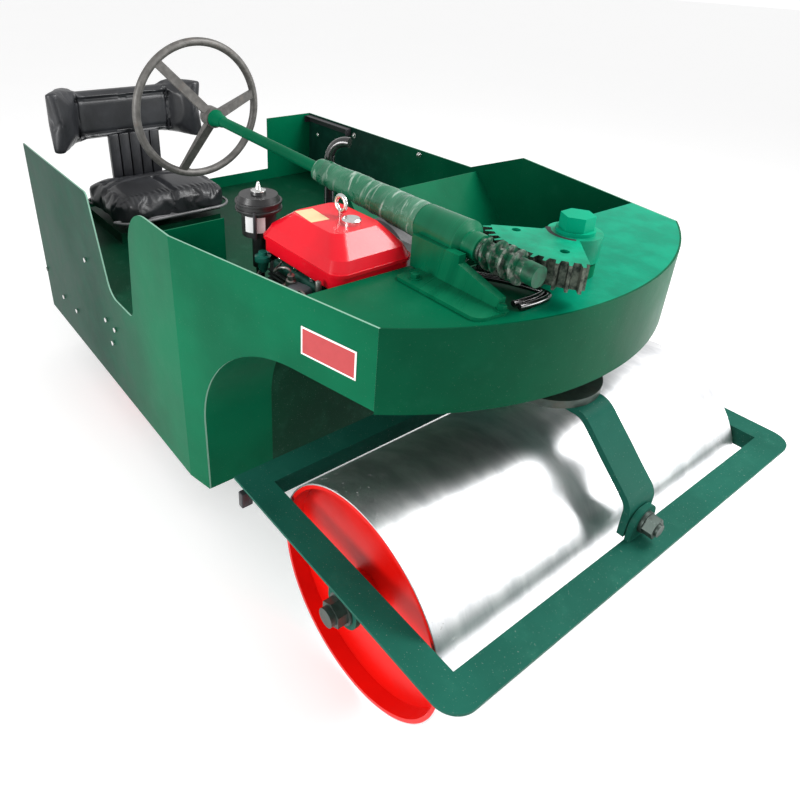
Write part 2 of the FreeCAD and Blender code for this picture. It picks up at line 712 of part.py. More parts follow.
def steering_sector():
    """The toothed fan on the kingpin, pointing at the worm on the machine's right."""
    root = d.sector_radius - d.tooth_depth
    low = d.sector_top_z - d.sector_rim
    half = math.radians(d.sector_half_angle)
    middle = -math.pi / 2

    def spot(radius, angle, z=0.0):
        return Vector(radius * math.cos(middle + angle), radius * math.sin(middle + angle), z)

    def fan(radius, inner):
        start, end = spot(radius, -half), spot(radius, half)
        inside = [spot(inner, half), spot(inner, 0), spot(inner, -half)]
        return Part.Wire([Part.Arc(start, spot(radius, 0), end).toShape(),
                          Part.LineSegment(end, inside[0]).toShape(), Part.Arc(*inside).toShape(),
                          Part.LineSegment(inside[2], start).toShape()])

    rim = Part.Face(fan(root, root - 32)).extrude(Vector(0, 0, d.sector_rim))
    web = Part.Face(fan(root - 10, d.kingpin_radius + 8)).extrude(Vector(0, 0, d.sector_web))
    web.translate(Vector(0, 0, d.sector_rim - d.sector_web))
    hub = Part.makeCylinder(d.kingpin_radius + 26, d.sector_rim)
    tooth_half = math.pi * d.sector_radius / d.sector_teeth * 0.42
    tooth = [(root - 3, -tooth_half), (d.sector_radius, -tooth_half * 0.55),
             (d.sector_radius, tooth_half * 0.55), (root - 3, tooth_half)]
    count = int(d.sector_half_angle * 2 / tooth_pitch())
    teeth = []
    for index in range(count):
        angle = -90 + (index - (count - 1) / 2) * tooth_pitch()
        solid = slab(tooth, 0, d.sector_rim)
        solid.rotate(Vector(), Vector(0, 0, 1), angle)
        teeth.append(solid)
    bolt_holes = [Part.makeCylinder(11, 200, spot(root - 55, angle, -50)) for angle in (-half * 0.8, half * 0.6)]
    bore = Part.makeCylinder(d.kingpin_radius, 300, Vector(0, 0, -50))
    solid = rim.fuse([web, hub] + teeth).cut(bore)
    for hole in bolt_holes:
        solid = solid.cut(hole)
    feature("steering_sector", solid.removeSplitter(), Placement(Vector(d.front_axle_x, 0, low), Rotation()))


def sector_nut():
    nut = hex_prism(35, 34, Vector(0, 0, 8))
    washer = Part.makeCylinder(46, 8)
    solid = nut.fuse(washer).cut(Part.makeCylinder(d.kingpin_radius - 12, 100, Vector(0, 0, -10)))
    feature("sector_nut", solid.removeSplitter(), Placement(Vector(d.front_axle_x, 0, d.sector_top_z), Rotation()))


def column_placement():
    """The worm's centre, with local +X along the column towards the front and slightly down."""
    y = -(d.sector_radius + d.worm_core + d.mesh_gap)
    return Placement(Vector(d.front_axle_x, y, d.worm_z), Rotation(Vector(0, 1, 0), float(d.column_tilt)))


def lengthwise(radius_steps):
    """A turned solid along local X from (x, radius) corners that start and end on the axis."""
    points = [Vector(x, radius, 0) for x, radius in radius_steps]
    wire = Part.makePolygon(points + [points[0]])
    return Part.Face(wire).revolve(Vector(), Vector(1, 0, 0), 360)


def worm():
    """The worm: a core with end journals and a single helical thread."""
    half = d.worm_length / 2
    lead = 2 * math.pi * (d.sector_radius - d.tooth_depth / 2) / d.sector_teeth
    core = lengthwise([(-half - 45, 0), (-half - 45, d.shaft_radius), (-half - 22, d.shaft_radius),
                       (-half - 22, d.worm_core + 2), (-half, d.worm_core + 2), (-half, d.worm_core),
                       (half, d.worm_core), (half, d.worm_core + 1), (half + 34, d.worm_core + 1),
                       (half + 34, 0)])
    turns = (d.worm_length - 22) / lead
    foot, tip = lead * 0.2, lead * 0.11
    base = d.worm_core - 2
    helix = Part.makeHelix(lead, turns * lead, base)
    section = Part.makePolygon([Vector(base, 0, -foot), Vector(d.worm_radius, 0, -tip),
                                Vector(d.worm_radius, 0, tip), Vector(base, 0, foot), Vector(base, 0, -foot)])
    thread = Part.Wire(helix).makePipeShell([section], True, True)
    thread.rotate(Vector(), Vector(0, 1, 0), 90)
    thread.translate(Vector(-turns * lead / 2, 0, 0))
    middle_faces_sector = 90 - 180 * turns
    thread.rotate(Vector(), Vector(1, 0, 0), middle_faces_sector)
    feature("worm", core.fuse(thread), column_placement())


def steering_shaft():
    start = -d.worm_length / 2 - 45
    shaft = lengthwise([(-d.wheel_reach - 20, 0), (-d.wheel_reach - 20, d.shaft_radius),
                        (start, d.shaft_radius), (start, 0)])
    feature("steering_shaft", shaft, column_placement())


def steering_wheel():
    """A dished wheel square to the column: rim, three sloping spokes and a hub."""
    reach = d.wheel_radius - d.wheel_tube
    rim = Part.makeTorus(reach, d.wheel_tube, Vector(0, 0, -d.wheel_dish))
    hub = Part.makeCylinder(34, 50, Vector(0, 0, -25))
    spokes = []
    for angle in (-20, 100, 220):
        blade = plate_xz([(20, -14), (reach, -d.wheel_dish - 6), (reach, -d.wheel_dish + 6), (20, 14)], -15, 30)
        blade.rotate(Vector(), Vector(0, 0, 1), angle)
        spokes.append(blade)
    bore = Part.makeCylinder(d.shaft_radius, 100, Vector(0, 0, -50))
    solid = rim.fuse([hub] + spokes).cut(bore).removeSplitter()
    solid.rotate(Vector(), Vector(0, 1, 0), 90)
    solid.translate(Vector(-d.wheel_reach, 0, 0))
    feature("steering_wheel", solid, column_placement())


def worm_housing():
    """The casting behind the worm: a barrel, a web and a foot on the deck."""
    front, rear = -d.worm_length / 2 - 8, -d.sleeve_front
    neck = d.worm_core + 9
    barrel = lengthwise([(rear, 0), (rear, d.sleeve_front_radius), (front - 48, d.barrel_radius),
                         (front - 38, neck), (front, neck), (front, 0)])
    spot = column_placement()
    barrel = barrel.transformed(spot.toMatrix())
    x, y, z = spot.Base
    deck = d.deck_z
    foot_rear, foot_front = d.deck_rear_x + 3, x + 72
    foot = slab([(foot_rear, y - 139, 12), (foot_front - 10, y - 139, 30), (foot_front, y - 47, 15),
                 (foot_rear, y - 47, 12)], deck, 8)
    web_rear = x + rear + 22
    web = plate_xz([(web_rear, deck + 4), (x + 50, deck + 4), (x + 50, deck + 30), (x + front - 8, z - 20),
                    (x + front - 8, z), (web_rear, z)], y - 66, 22)
    shaft_bore = Part.makeCylinder(d.worm_core + 2 + d.axle_play, 600, Vector(-500, 0, 0), Vector(1, 0, 0))
    shaft_bore = shaft_bore.transformed(spot.toMatrix())
    feature("worm_housing", barrel.fuse([foot, web]).cut(shaft_bore).removeSplitter())


def column_sleeve():
    """The fixed taper sleeve round the shaft, wrapped on the real machine."""
    front, rear = -d.sleeve_front, -d.sleeve_rear
    bore = d.shaft_radius + 5
    steps = [(rear, bore), (rear, d.sleeve_rear_radius - 10), (rear + 22, d.sleeve_rear_radius),
             (front, d.sleeve_front_radius), (front, bore)]
    feature("column_sleeve", lengthwise(steps), column_placement())


# Engine bay

def engine():
    """A single-cylinder engine: crankcase, head, flywheel, tank, air cleaner and exhaust."""
    deck = d.pan_z + d.plate
    x0 = d.tank_x - d.engine_length / 2 - 50
    y0 = d.pan_right_y + d.plate + 12
    tall = d.tank_z - 12 - deck
    case = slab([(0, 0, 18), (d.engine_length, 0, 18), (d.engine_length, d.engine_width, 18),
                 (0, d.engine_width, 18)], 0, tall)
    rails = [Part.makeBox(d.engine_length, 30, 12, Vector(0, at, tall)) for at in (35, 115)]
    feature("engine_block", case.fuse(rails).removeSplitter(), Placement(Vector(x0, y0, deck), Rotation()))
    edge = d.flywheel_radius
    wheel = lengthwise([(0, 0), (0, edge - 8), (12, edge), (58, edge), (70, edge - 8), (70, 0)])
    wheel = wheel.transformed(Placement(Vector(), Rotation(Vector(0, 0, 1), 90)).toMatrix())
    feature("flywheel", wheel, Placement(Vector(x0 + 150, y0 + d.engine_width, deck + edge + 6), Rotation()))


def fuel_tank():
    """The red tank: an upright skirt, a seam bead and a tapered top."""
    half_x, half_y = d.tank_length / 2, d.tank_width / 2

    def ring(dx, dy, z, radius):
        wire = wire_of([(-dx, -dy, radius), (dx, -dy, radius), (dx, dy, radius), (-dx, dy, radius)])
        wire.translate(Vector(0, 0, z))
        return wire

    skirt = Part.Face(ring(half_x - 5, half_y - 5, 0, 34)).extrude(Vector(0, 0, 44))
    bead = Part.Face(ring(half_x, half_y, 32, 38)).extrude(Vector(0, 0, 8))
    top = Part.makeLoft([ring(half_x - 3, half_y - 3, 40, 36), ring(half_x - 16, half_y - 16, 66, 34),
                         ring(half_x - 72, half_y - 50, 108, 30)], True, True)
    solid = skirt.fuse([bead, top])
    feature("fuel_tank", solid, Placement(Vector(d.tank_x, d.tank_y, d.tank_z), Rotation()))
    roof = d.tank_z + 108
    cap = lengthwise([(0, 0), (0, 24), (10, 24), (14, 20), (14, 0)])
    cap = cap.transformed(Placement(Vector(), Rotation(Vector(0, 1, 0), -90)).toMatrix())
    feature("fuel_cap", cap, Placement(Vector(d.tank_x + 52, d.tank_y + 8, roof), Rotation()))
    eye = Part.makeTorus(19, 5.5)
    eye = eye.transformed(Placement(Vector(0, 0, 34), Rotation(Vector(1, 0, 0), 90)).toMatrix())
    stem = Part.makeCylinder(7, 16)
    feature("lifting_eye", eye.fuse(stem), Placement(Vector(d.tank_x + 2, d.tank_y + 14, roof), Rotation()))


def air_cleaner():
    """The black canister with its cap, clip and down pipe."""
    can = lengthwise([(-150, 0), (-150, 20), (-62, 20), (-56, 46), (14, 46), (14, 58), (34, 58), (52, 50),
                      (52, 20), (60, 18), (60, 0)])
    can = can.transformed(Placement(Vector(), Rotation(Vector(0, 1, 0), -90)).toMatrix())
    x, y, z = d.tank_x - 215, d.tank_y - 90, d.tank_z + 72
    block_face = d.pan_right_y + d.plate + 12
    elbow = Part.makeCylinder(18, block_face - y, Vector(0, 0, -126), Vector(0, 1, 0))
    feature("air_cleaner", can.fuse(elbow), Placement(Vector(x, y, z), Rotation()))


def exhaust_pipe():
    """The silencer's black body behind the engine, with the elbow pipe that rises from it."""
    low = d.pan_z + d.plate
    body_high = 170
    rise = d.exhaust_top_z - low - 60
    path = Part.Wire([Part.LineSegment(Vector(0, 0, 0), Vector(0, 0, rise)).toShape(),
                      Part.Arc(Vector(0, 0, rise), Vector(14, 9, rise + 33), Vector(52, 30, rise + 46)).toShape()])
    outer = Part.Wire(Part.makeCircle(d.exhaust_radius, Vector(), Vector(0, 0, 1)))
    pipe = path.makePipeShell([outer], True, True)
    body = Part.makeCylinder(d.silencer_radius, body_high)
    spot = Placement(Vector(d.exhaust_x, d.exhaust_y, low), Rotation())
    feature("exhaust_pipe", pipe.fuse(body).removeSplitter(), spot)


# Seat

def seat():
    """The folded frame with its ribbed riser, and plain solids for the two pads."""
    half = d.seat_width / 2
    front, rear = d.seat_front_x, d.seat_front_x - d.seat_depth
    under = d.seat_z - 15 - d.soft_gap
    riser_x = rear + d.soft_gap
    pan = Part.makeBox(d.seat_depth - 60, d.seat_width - 90, 10, Vector(rear + 30, -half + 45, under - 10))
    post = Part.makeCylinder(40, d.seat_post, Vector((front + rear) / 2, 0, d.seat_z - 25 - d.seat_post))
    risers = [Part.makeBox(12, 24, 250, Vector(riser_x, at - 12, under - 10)) for at in (-90, -45, 0, 45, 90)]
    tie = Part.makeBox(12, 220, 14, Vector(riser_x, -110, under - 10))
    bridge = Part.makeBox(34, 220, 10, Vector(riser_x, -110, under - 10))
    frame = pan.fuse([post, tie, bridge] + risers).removeSplitter()
    spot = Placement(Vector(0, d.seat_y, 0), Rotation())
    feature("seat_frame", frame, spot)
    cushion = slab([(rear + 22, -half, 60), (front, -half, 90), (front, half, 90), (rear + 22, half, 60)],
                   d.seat_z - 15, 78)
    feature("seat_cushion", cushion, spot)
    wing, back_rear, back_front = d.back_width / 2, rear - 42, rear
    back = slab([(back_rear, -wing + 80, 80), (back_front + 110, -wing, 18), (back_front + 110, -wing + 50, 18),
                 (back_front, -wing + 130, 60), (back_front, wing - 130, 60), (back_front + 110, wing - 50, 18),
                 (back_front + 110, wing, 18), (back_rear, wing - 80, 80)], d.seat_z + 215, 235)
    feature("seat_back", back, Placement(Vector(0, d.seat_y + d.back_shift, 0), Rotation()))


def build_hull():
    right_panel()
    left_panel()
    nose_panel()
    nose_deck()
    rear_panel()
    floor_plate()
    front_bulkhead()
    sloped_bulkhead()
    liner = arch_liner()
    feature("left_arch_liner", liner)
    feature("right_arch_liner", mirror_y(liner))
    drum_guard()
    engine_pan()
    kingpin_beam()
    kingpin_housing()
    seat_pedestal()
    tow_bracket()


def build_running_gear():
    rear_axle()
    rear_axle_brackets()
    drum("rear_drum", d.rear_axle_x, d.rear_drum_length)
    drum("front_drum", d.front_axle_x, d.drum_length)
    ring_frame()
    yoke()
    yoke_pins()
    turntable()
    kingpin()
    front_axle()
    axle_nuts()


def build_steering():
    steering_sector()
    sector_nut()
    worm()
    steering_shaft()
    steering_wheel()
    worm_housing()
    column_sleeve()


def build_engine_bay():
    engine()
    fuel_tank()
    air_cleaner()
    exhaust_pipe()


def faults():
    """What failed to compute, or has no sound shape."""
    found = []
    for thing in doc.Objects:
        if "Invalid" in thing.State or "Error" in thing.State:
            found.append(f"{thing.Label}: {thing.State}")
    for piece in pieces:
        shape = piece.Shape
        if shape.isNull() or not shape.isValid() or not shape.Solids:
            found.append(f"{piece.Label}: no sound shape")
    return found


build_hull()
build_running_gear()
build_steering()
build_engine_bay()
seat()
doc.recompute()

problems = faults()
if problems:
    raise RuntimeError("; ".join(problems))
os.makedirs("parts", exist_ok=True)
for piece in pieces:
    piece.Shape.exportStep(f"parts/{piece.Label}.step")
print(len(pieces), "sub-parts,", sum(len(piece.Shape.Solids) for piece in pieces), "solids")
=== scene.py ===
import math

import bpy
from mathutils import Matrix, Vector, noise


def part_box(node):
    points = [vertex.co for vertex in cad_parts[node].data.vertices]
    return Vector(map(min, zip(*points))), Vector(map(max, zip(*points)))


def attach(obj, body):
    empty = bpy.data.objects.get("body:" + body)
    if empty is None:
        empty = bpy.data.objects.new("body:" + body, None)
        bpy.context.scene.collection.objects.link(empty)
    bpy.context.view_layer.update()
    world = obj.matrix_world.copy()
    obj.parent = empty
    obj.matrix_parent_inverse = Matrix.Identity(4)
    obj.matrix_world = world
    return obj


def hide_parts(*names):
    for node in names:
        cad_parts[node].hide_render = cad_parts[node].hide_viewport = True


bl_info = {
    "name": "Pitch roller finishes",
    "version": (1, 0, 0),
    "blender": (4, 5, 0),
    "location": "View3D > Sidebar > Roller",
    "description": "Paint, steel, seat pads, labels and small fittings for a ride-on pitch roller",
    "category": "Object",
}

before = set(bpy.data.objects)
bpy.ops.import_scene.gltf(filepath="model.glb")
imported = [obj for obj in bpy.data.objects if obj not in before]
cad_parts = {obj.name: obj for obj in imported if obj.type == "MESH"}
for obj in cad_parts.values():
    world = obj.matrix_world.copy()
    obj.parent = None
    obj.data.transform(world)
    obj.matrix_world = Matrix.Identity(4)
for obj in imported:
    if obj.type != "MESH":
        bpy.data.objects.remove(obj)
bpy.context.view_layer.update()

AXLE_FRONT = (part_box("front_axle")[0].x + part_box("front_axle")[1].x) / 2
AXLE_REAR = (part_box("rear_axle")[0].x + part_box("rear_axle")[1].x) / 2
DRUM_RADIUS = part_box("front_drum")[1].z / 2
DRUM_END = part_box("front_drum")[1].y
DECK_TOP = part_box("nose_deck")[1].z

COLUMN_TILT = math.radians(2.1)
COLUMN_WAY = Vector((math.cos(COLUMN_TILT), 0, -math.sin(COLUMN_TILT)))
WHEEL_HUB = Vector((-0.463, -0.242, 1.157))
CLEANER_X, CLEANER_Y = 0.262, -0.490
ROLL_PLACES = (-0.09, -0.045, 0, 0.045, 0.09)


class Signal:
    """A node's output that sums can be written with."""

    def __init__(self, graph, socket):
        self.graph = graph
        self.socket = socket

    def math(self, operation, other=None, swapped=False, clamp=False):
        values = {0: self} if other is None else {0: self, 1: other}
        if swapped:
            values = {0: other, 1: self}
        settings = {"operation": operation, "use_clamp": clamp}
        return self.graph.add("ShaderNodeMath", settings, values)

    def __add__(self, other):
        return self.math("ADD", other)

    def __radd__(self, other):
        return self.math("ADD", other, swapped=True)

    def __sub__(self, other):
        return self.math("SUBTRACT", other)

    def __rsub__(self, other):
        return self.math("SUBTRACT", other, swapped=True)

    def __mul__(self, other):
        return self.math("MULTIPLY", other)

    def __rmul__(self, other):
        return self.math("MULTIPLY", other, swapped=True)

    def __truediv__(self, other):
        return self.math("DIVIDE", other)

    def __gt__(self, other):
        return self.math("GREATER_THAN", other)

    def __lt__(self, other):
        return self.math("LESS_THAN", other)

    def power(self, other):
        return self.math("POWER", other)


class Graph:
    """One material's node tree."""

    def __init__(self, name):
        self.material = bpy.data.materials.new(name)
        self.material.use_nodes = True
        self.tree = self.material.node_tree
        self.shader = next(n for n in self.tree.nodes if n.type == "BSDF_PRINCIPLED")
        place = self.add("ShaderNodeTexCoord", {}, {}, "Object")
        self.place = place
        self.axes = self.add("ShaderNodeSeparateXYZ", {}, {0: place}, None)

    def add(self, kind, settings, values, output=0):
        """Adds a node: settings first, then the values or links of its sockets."""
        node = self.tree.nodes.new(kind)
        for name, value in settings.items():
            if name == "stops":
                ramp = node.color_ramp
                while len(ramp.elements) > 1:
                    ramp.elements.remove(ramp.elements[-1])
                ramp.elements[0].position, ramp.elements[0].color = value[0][0], value[0][1]
                for position, colour in value[1:]:
                    ramp.elements.new(position).color = colour
            else:
                setattr(node, name, value)
        for name, value in values.items():
            if isinstance(value, Signal):
                self.tree.links.new(value.socket, node.inputs[name])
            elif value is not None:
                node.inputs[name].default_value = value
        if output is None:
            return [Signal(self, socket) for socket in node.outputs]
        return Signal(self, node.outputs[output])

    def noise(self, scale, detail=3.0, rough=0.5, where=None, distortion=0.0):
        values = {"Vector": where or self.place, "Scale": scale, "Detail": detail,
                  "Roughness": rough, "Distortion": distortion}
        return self.add("ShaderNodeTexNoise", {}, values, "Fac")

    def stretched(self, scale, turn=(0, 0, 0), where=None):
        """The object's place with each axis scaled, for grain that runs one way."""
        return self.add("ShaderNodeMapping", {},
                        {"Vector": where or self.place, "Scale": scale, "Rotation": turn})

    def ramp(self, factor, low, high):
        """0 below low, 1 above high, smooth between."""
        return self.add("ShaderNodeMapRange", {"interpolation_type": "SMOOTHSTEP"},
                        {"Value": factor, "From Min": low, "From Max": high})

    def mix(self, factor, first, second, blend="MIX"):
        """Two colours mixed by a factor."""
        return self.add("ShaderNodeMix", {"data_type": "RGBA", "blend_type": blend},
                        {0: factor, 6: first, 7: second}, 2)

    def join(self, x, y, z):
        return self.add("ShaderNodeCombineXYZ", {}, {0: x, 1: y, 2: z})

    def bump(self, height, strength=0.3, distance=0.001):
        normal = self.add("ShaderNodeBump", {}, {"Height": height, "Strength": strength,
                                                 "Distance": distance}, "Normal")
        return self.feed(**{"Normal": normal})

    def feed(self, **values):
        """Links or sets the shader's own sockets."""
        for name, value in values.items():
            socket = self.shader.inputs[name.replace("_", " ")]
            if isinstance(value, Signal):
                self.tree.links.new(value.socket, socket)
            else:
                socket.default_value = value
        return self


def shade(colour, factor):
    """A colour made lighter or darker, as four numbers."""
    return (*(min(1.0, part * factor) for part in colour[:3]), 1.0)


# Finishes

def enamel(name, colour, rough=0.30, dust=0.3, gloss=0.04, edge=0.0, painted_light_gradient=None):
    """Enamel over steel plate: slight waves, dull patches, fine dust, cut edges made paler as a painted
    highlight, and an optional gradient of painted shade or reflection along one axis.
    """
    g = Graph(name)
    patches = g.noise(2.3, 4.0, 0.55)
    mottle = g.noise(14.0, 5.0, 0.6)
    speck = g.noise(260.0, 2.0, 0.6)
    tone = g.mix(g.ramp(patches, 0.3, 0.7), shade(colour, 0.80), shade(colour, 1.18))
    # Painted light: along one axis the paint blends into a darker or brighter tone, standing in for
    # shade or reflection.
    if painted_light_gradient:
        axis, start, end, other = painted_light_gradient
        painted_light_mask = g.ramp(g.axes[axis] + patches * 0.2 - 0.1, start, end)
        painted_light_tone = g.mix(g.ramp(mottle, 0.3, 0.7), shade(other, 0.85), shade(other, 1.15))
        tone = g.mix(painted_light_mask, tone, painted_light_tone)
    pale = (colour[0] * 0.5 + 0.03, colour[1] * 0.8 + 0.10, colour[2] * 0.8 + 0.07, 1)
    tone = g.mix(g.ramp(mottle, 0.5, 0.85) * (0.35 * dust), tone, pale)
    tone = g.mix(g.ramp(speck, 0.68, 0.74) * (0.5 * dust), tone, (0.30, 0.36, 0.32, 1))
    # Painted highlight: faces not turned along y, the sheet's cut edges, are made paler.
    if edge:
        normal = g.add("ShaderNodeTexCoord", {}, {}, "Normal")
        side = g.add("ShaderNodeSeparateXYZ", {}, {0: normal}, 1)
        cut = 1 - g.ramp(g.add("ShaderNodeMath", {"operation": "ABSOLUTE"}, {0: side}), 0.5, 0.8)
        tone = g.mix(cut * edge, tone, (0.26, 0.46, 0.36, 1))
    g.feed(Base_Color=tone, Roughness=rough + mottle * 0.14 + g.ramp(patches, 0.5, 0.8) * 0.08,
           Metallic=0.0, Specular_IOR_Level=gloss)
    waves = g.noise(5.0, 2.0, 0.5) * 4.0 + g.noise(60.0, 2.0, 0.5) * 0.35 + speck * 0.1
    return g.bump(waves, 0.22, 0.002).material


def toothed(name, colour):
    """Green enamel on the sector, with dark bare steel down the flanks of its teeth."""
    g = Graph(name)
    x, y = g.axes[:2]
    across = x - AXLE_FRONT
    reach = (across * across + y * y).power(0.5)
    upright = g.add("ShaderNodeSeparateXYZ", {}, {0: g.add("ShaderNodeTexCoord", {}, {}, "Normal")}, 2)
    flank = g.ramp(reach, 0.186, 0.196) * (upright < 0.5)
    patches = g.noise(12.0, 5.0, 0.6)
    grease = g.noise(48.0, 5.0, 0.65)
    green = g.mix(g.ramp(patches, 0.3, 0.75), shade(colour, 0.72), shade(colour, 1.35))
    green = g.mix(g.ramp(grease, 0.6, 0.75) * 0.4, green, shade(colour, 0.3))
    steel = g.mix(g.ramp(grease, 0.35, 0.65), (0.010, 0.014, 0.012, 1), (0.13, 0.15, 0.12, 1))
    g.feed(Base_Color=g.mix(flank, green, steel), Roughness=0.3 + grease * 0.2, Metallic=flank * 0.4,
           Specular_IOR_Level=0.12)
    return g.bump(grease * 0.6 + patches * 1.5, 0.4, 0.0014).material


def threaded(name, colour):
    """The worm: green paint left in its hollows and on its nose, dull steel on its crests."""
    g = Graph(name)
    grime = g.noise(60.0, 5.0, 0.65)
    worn = g.ramp(g.noise(30.0, 4.0, 0.6, g.stretched((1.0, 2.0, 2.0))), 0.42, 0.62)
    nose = g.axes[0] > (AXLE_FRONT + 0.062)
    green = g.mix(g.ramp(grime, 0.3, 0.7), shade(colour, 0.55), shade(colour, 1.3))
    steel = g.mix(g.ramp(grime, 0.35, 0.7), (0.035, 0.045, 0.038, 1), (0.26, 0.29, 0.25, 1))
    g.feed(Base_Color=g.mix(worn * (1 - nose), green, steel), Metallic=worn * 0.55 * (1 - nose),
           Roughness=0.34 + grime * 0.2, Specular_IOR_Level=0.3)
    return g.bump(grime, 0.4, 0.0012).material


def rolled_steel(name, axle_x, red):
    """A turned steel shell, streaked round its run, with red painted ends inside the rims."""
    g = Graph(name)
    x, y, z = g.axes
    dx, dz = x - axle_x, z - DRUM_RADIUS
    radius = (dx * dx + dz * dz).power(0.5)
    angle = g.add("ShaderNodeMath", {"operation": "ARCTAN2"}, {0: dz, 1: dx})
    shell = radius > (DRUM_RADIUS - 0.004)
    around = g.join(angle * 0.55, y * 5.0, radius * 2.0)
    streak = g.noise(3.4, 6.0, 0.62, around, 0.4)
    fine = g.noise(26.0, 4.0, 0.6, around)
    stain = g.noise(5.0, 5.0, 0.6)
    edge = g.ramp(g.add("ShaderNodeMath", {"operation": "ABSOLUTE"}, {0: y}), DRUM_END - 0.16, DRUM_END)
    pits = g.ramp(g.noise(70.0, 3.0, 0.7), 0.62, 0.70) * g.ramp(stain + edge * 0.25, 0.55, 0.75)
    steel = g.mix(g.ramp(streak, 0.3, 0.7), (0.66, 0.67, 0.69, 1), (0.88, 0.88, 0.89, 1))
    steel = g.mix(g.ramp(stain, 0.52, 0.75) * 0.35, steel, (0.52, 0.51, 0.50, 1))
    steel = g.mix(pits * 0.6, steel, (0.30, 0.29, 0.28, 1))
    paint = g.mix(g.ramp(g.noise(3.0, 4.0), 0.3, 0.7), shade(red, 0.8), shade(red, 1.12))
    g.feed(Base_Color=g.mix(shell, paint, steel), Metallic=shell * (1 - pits * 0.5),
           Roughness=g.add("ShaderNodeMix", {"data_type": "FLOAT"},
                           {0: shell, 2: 0.33, 3: 0.30 + streak * 0.10 + fine * 0.06 + pits * 0.25}),
           Specular_IOR_Level=0.2)
    height = streak * 0.8 + fine * 0.35 - pits * 0.8 + g.noise(3.0, 2.0) * 1.5
    return g.bump(height, 0.16, 0.0007).material


def bare_steel(name, colour, rough, rust=0.3, metallic=0.9):
    """Machined or worn steel with a little rust in its hollows."""
    g = Graph(name)
    grime = g.noise(38.0, 5.0, 0.65)
    base = g.mix(g.ramp(grime, 0.35, 0.7), shade(colour, 0.72), shade(colour, 1.15))
    base = g.mix(g.ramp(g.noise(16.0, 5.0, 0.7), 0.56, 0.7) * rust, base, (0.16, 0.085, 0.05, 1))
    g.feed(Base_Color=base, Metallic=metallic, Roughness=rough + grime * 0.22)
    return g.bump(grime + g.noise(190.0, 2.0) * 0.5, 0.3, 0.0008).material


def cast_iron(name, colour):
    """Rough cast metal with an oily film."""
    g = Graph(name)
    grain = g.noise(150.0, 4.0, 0.7)
    oil = g.noise(9.0, 4.0, 0.6)
    g.feed(Base_Color=g.mix(g.ramp(oil, 0.35, 0.7), shade(colour, 0.6), shade(colour, 1.3)),
           Metallic=0.25, Roughness=0.42 + grain * 0.25)
    return g.bump(grain, 0.5, 0.001).material


def black_finish(name, rough=0.35, level=0.012, coat=0.15):
    """Black stoved paint or plastic with dust on it."""
    g = Graph(name)
    dust = g.noise(22.0, 5.0, 0.65)
    g.feed(Base_Color=g.mix(g.ramp(dust, 0.5, 0.8), (level, level, level * 1.1, 1),
                            (level * 3.4, level * 3.3, level * 3.2, 1)),
           Roughness=rough + dust * 0.2, Coat_Weight=coat, Coat_Roughness=0.12)
    return g.bump(g.noise(130.0, 3.0), 0.2, 0.0006).material


def bright_plate(name):
    """Plated steel: the eye, the cap and the small bolts."""
    g = Graph(name)
    film = g.noise(40.0, 4.0, 0.6)
    g.feed(Base_Color=g.mix(film, (0.62, 0.62, 0.60, 1), (0.86, 0.86, 0.85, 1)), Metallic=1.0,
           Roughness=0.12 + film * 0.2)
    return g.bump(film, 0.12, 0.0005).material


def vinyl(name, colour):
    """Soft black vinyl: a pebbled grain, with a sheen where it is worn smooth."""
    g = Graph(name)
    pebble = g.add("ShaderNodeTexVoronoi", {"feature": "SMOOTH_F1"},
                   {"Vector": g.place, "Scale": 420.0, "Smoothness": 0.6}, "Distance")
    worn = g.noise(7.0, 4.0, 0.6)
    creases = g.noise(26.0, 4.0, 0.6, g.stretched((0.6, 1.6, 1.0)), 0.6)
    base = g.mix(g.ramp(worn, 0.35, 0.75), shade(colour, 0.75), shade(colour, 1.7))
    g.feed(Base_Color=base, Roughness=0.30 + worn * 0.2, Coat_Weight=0.15, Coat_Roughness=0.3)
    return g.bump(pebble * 0.5 + creases * 1.4, 0.35, 0.0012).material


def wrapping(name, colour, until=9.0, strength=0.5):
    """Clear film wound round green paint: creases that run with the winding, with painted highlights
    along them.
    """
    g = Graph(name)
    x, y, z = g.axes
    wound = g.join(x * 1.0 + y * 0.35 - z * 0.25, y * 0.16, z * 0.2)
    crease = g.noise(46.0, 5.0, 0.62, wound, 0.9)
    broad = g.noise(9.0, 4.0, 0.6, wound, 0.5)
    wound_part = g.ramp(x + z * 0.6, until + 0.03, until - 0.03)
    glint = g.ramp(crease, 0.53, 0.68) * g.ramp(broad, 0.34, 0.62) * wound_part
    haze = g.ramp(g.noise(4.0, 4.0, 0.6, wound), 0.42, 0.68) * wound_part
    base = g.mix(g.ramp(broad, 0.3, 0.7), shade(colour, 0.85), shade(colour, 1.3))
    base = g.mix(haze * 0.5, base, (0.12, 0.24, 0.17, 1))
    # Painted highlight: pale glints mixed into the colour along the creases.
    base = g.mix(glint * strength, base, (0.62, 0.72, 0.64, 1))
    g.feed(Base_Color=base, Roughness=0.2 + g.ramp(broad, 0.3, 0.8) * 0.22, Specular_IOR_Level=0.25,
           Coat_Weight=wound_part * 0.35, Coat_Roughness=0.1)
    return g.bump(crease * wound_part * 2.4 + broad * 1.0, 0.7, 0.003).material


def card(name, colour, rough=0.4):
    """A printed label's bare ground, slightly soiled."""
    g = Graph(name)
    soil = g.noise(45.0, 4.0, 0.6)
    g.feed(Base_Color=g.mix(g.ramp(soil, 0.45, 0.85) * 0.4, shade(colour, 1.0), shade(colour, 0.72)),
           Roughness=rough + soil * 0.15, Coat_Weight=0.2)
    return g.bump(soil, 0.1, 0.0003).material


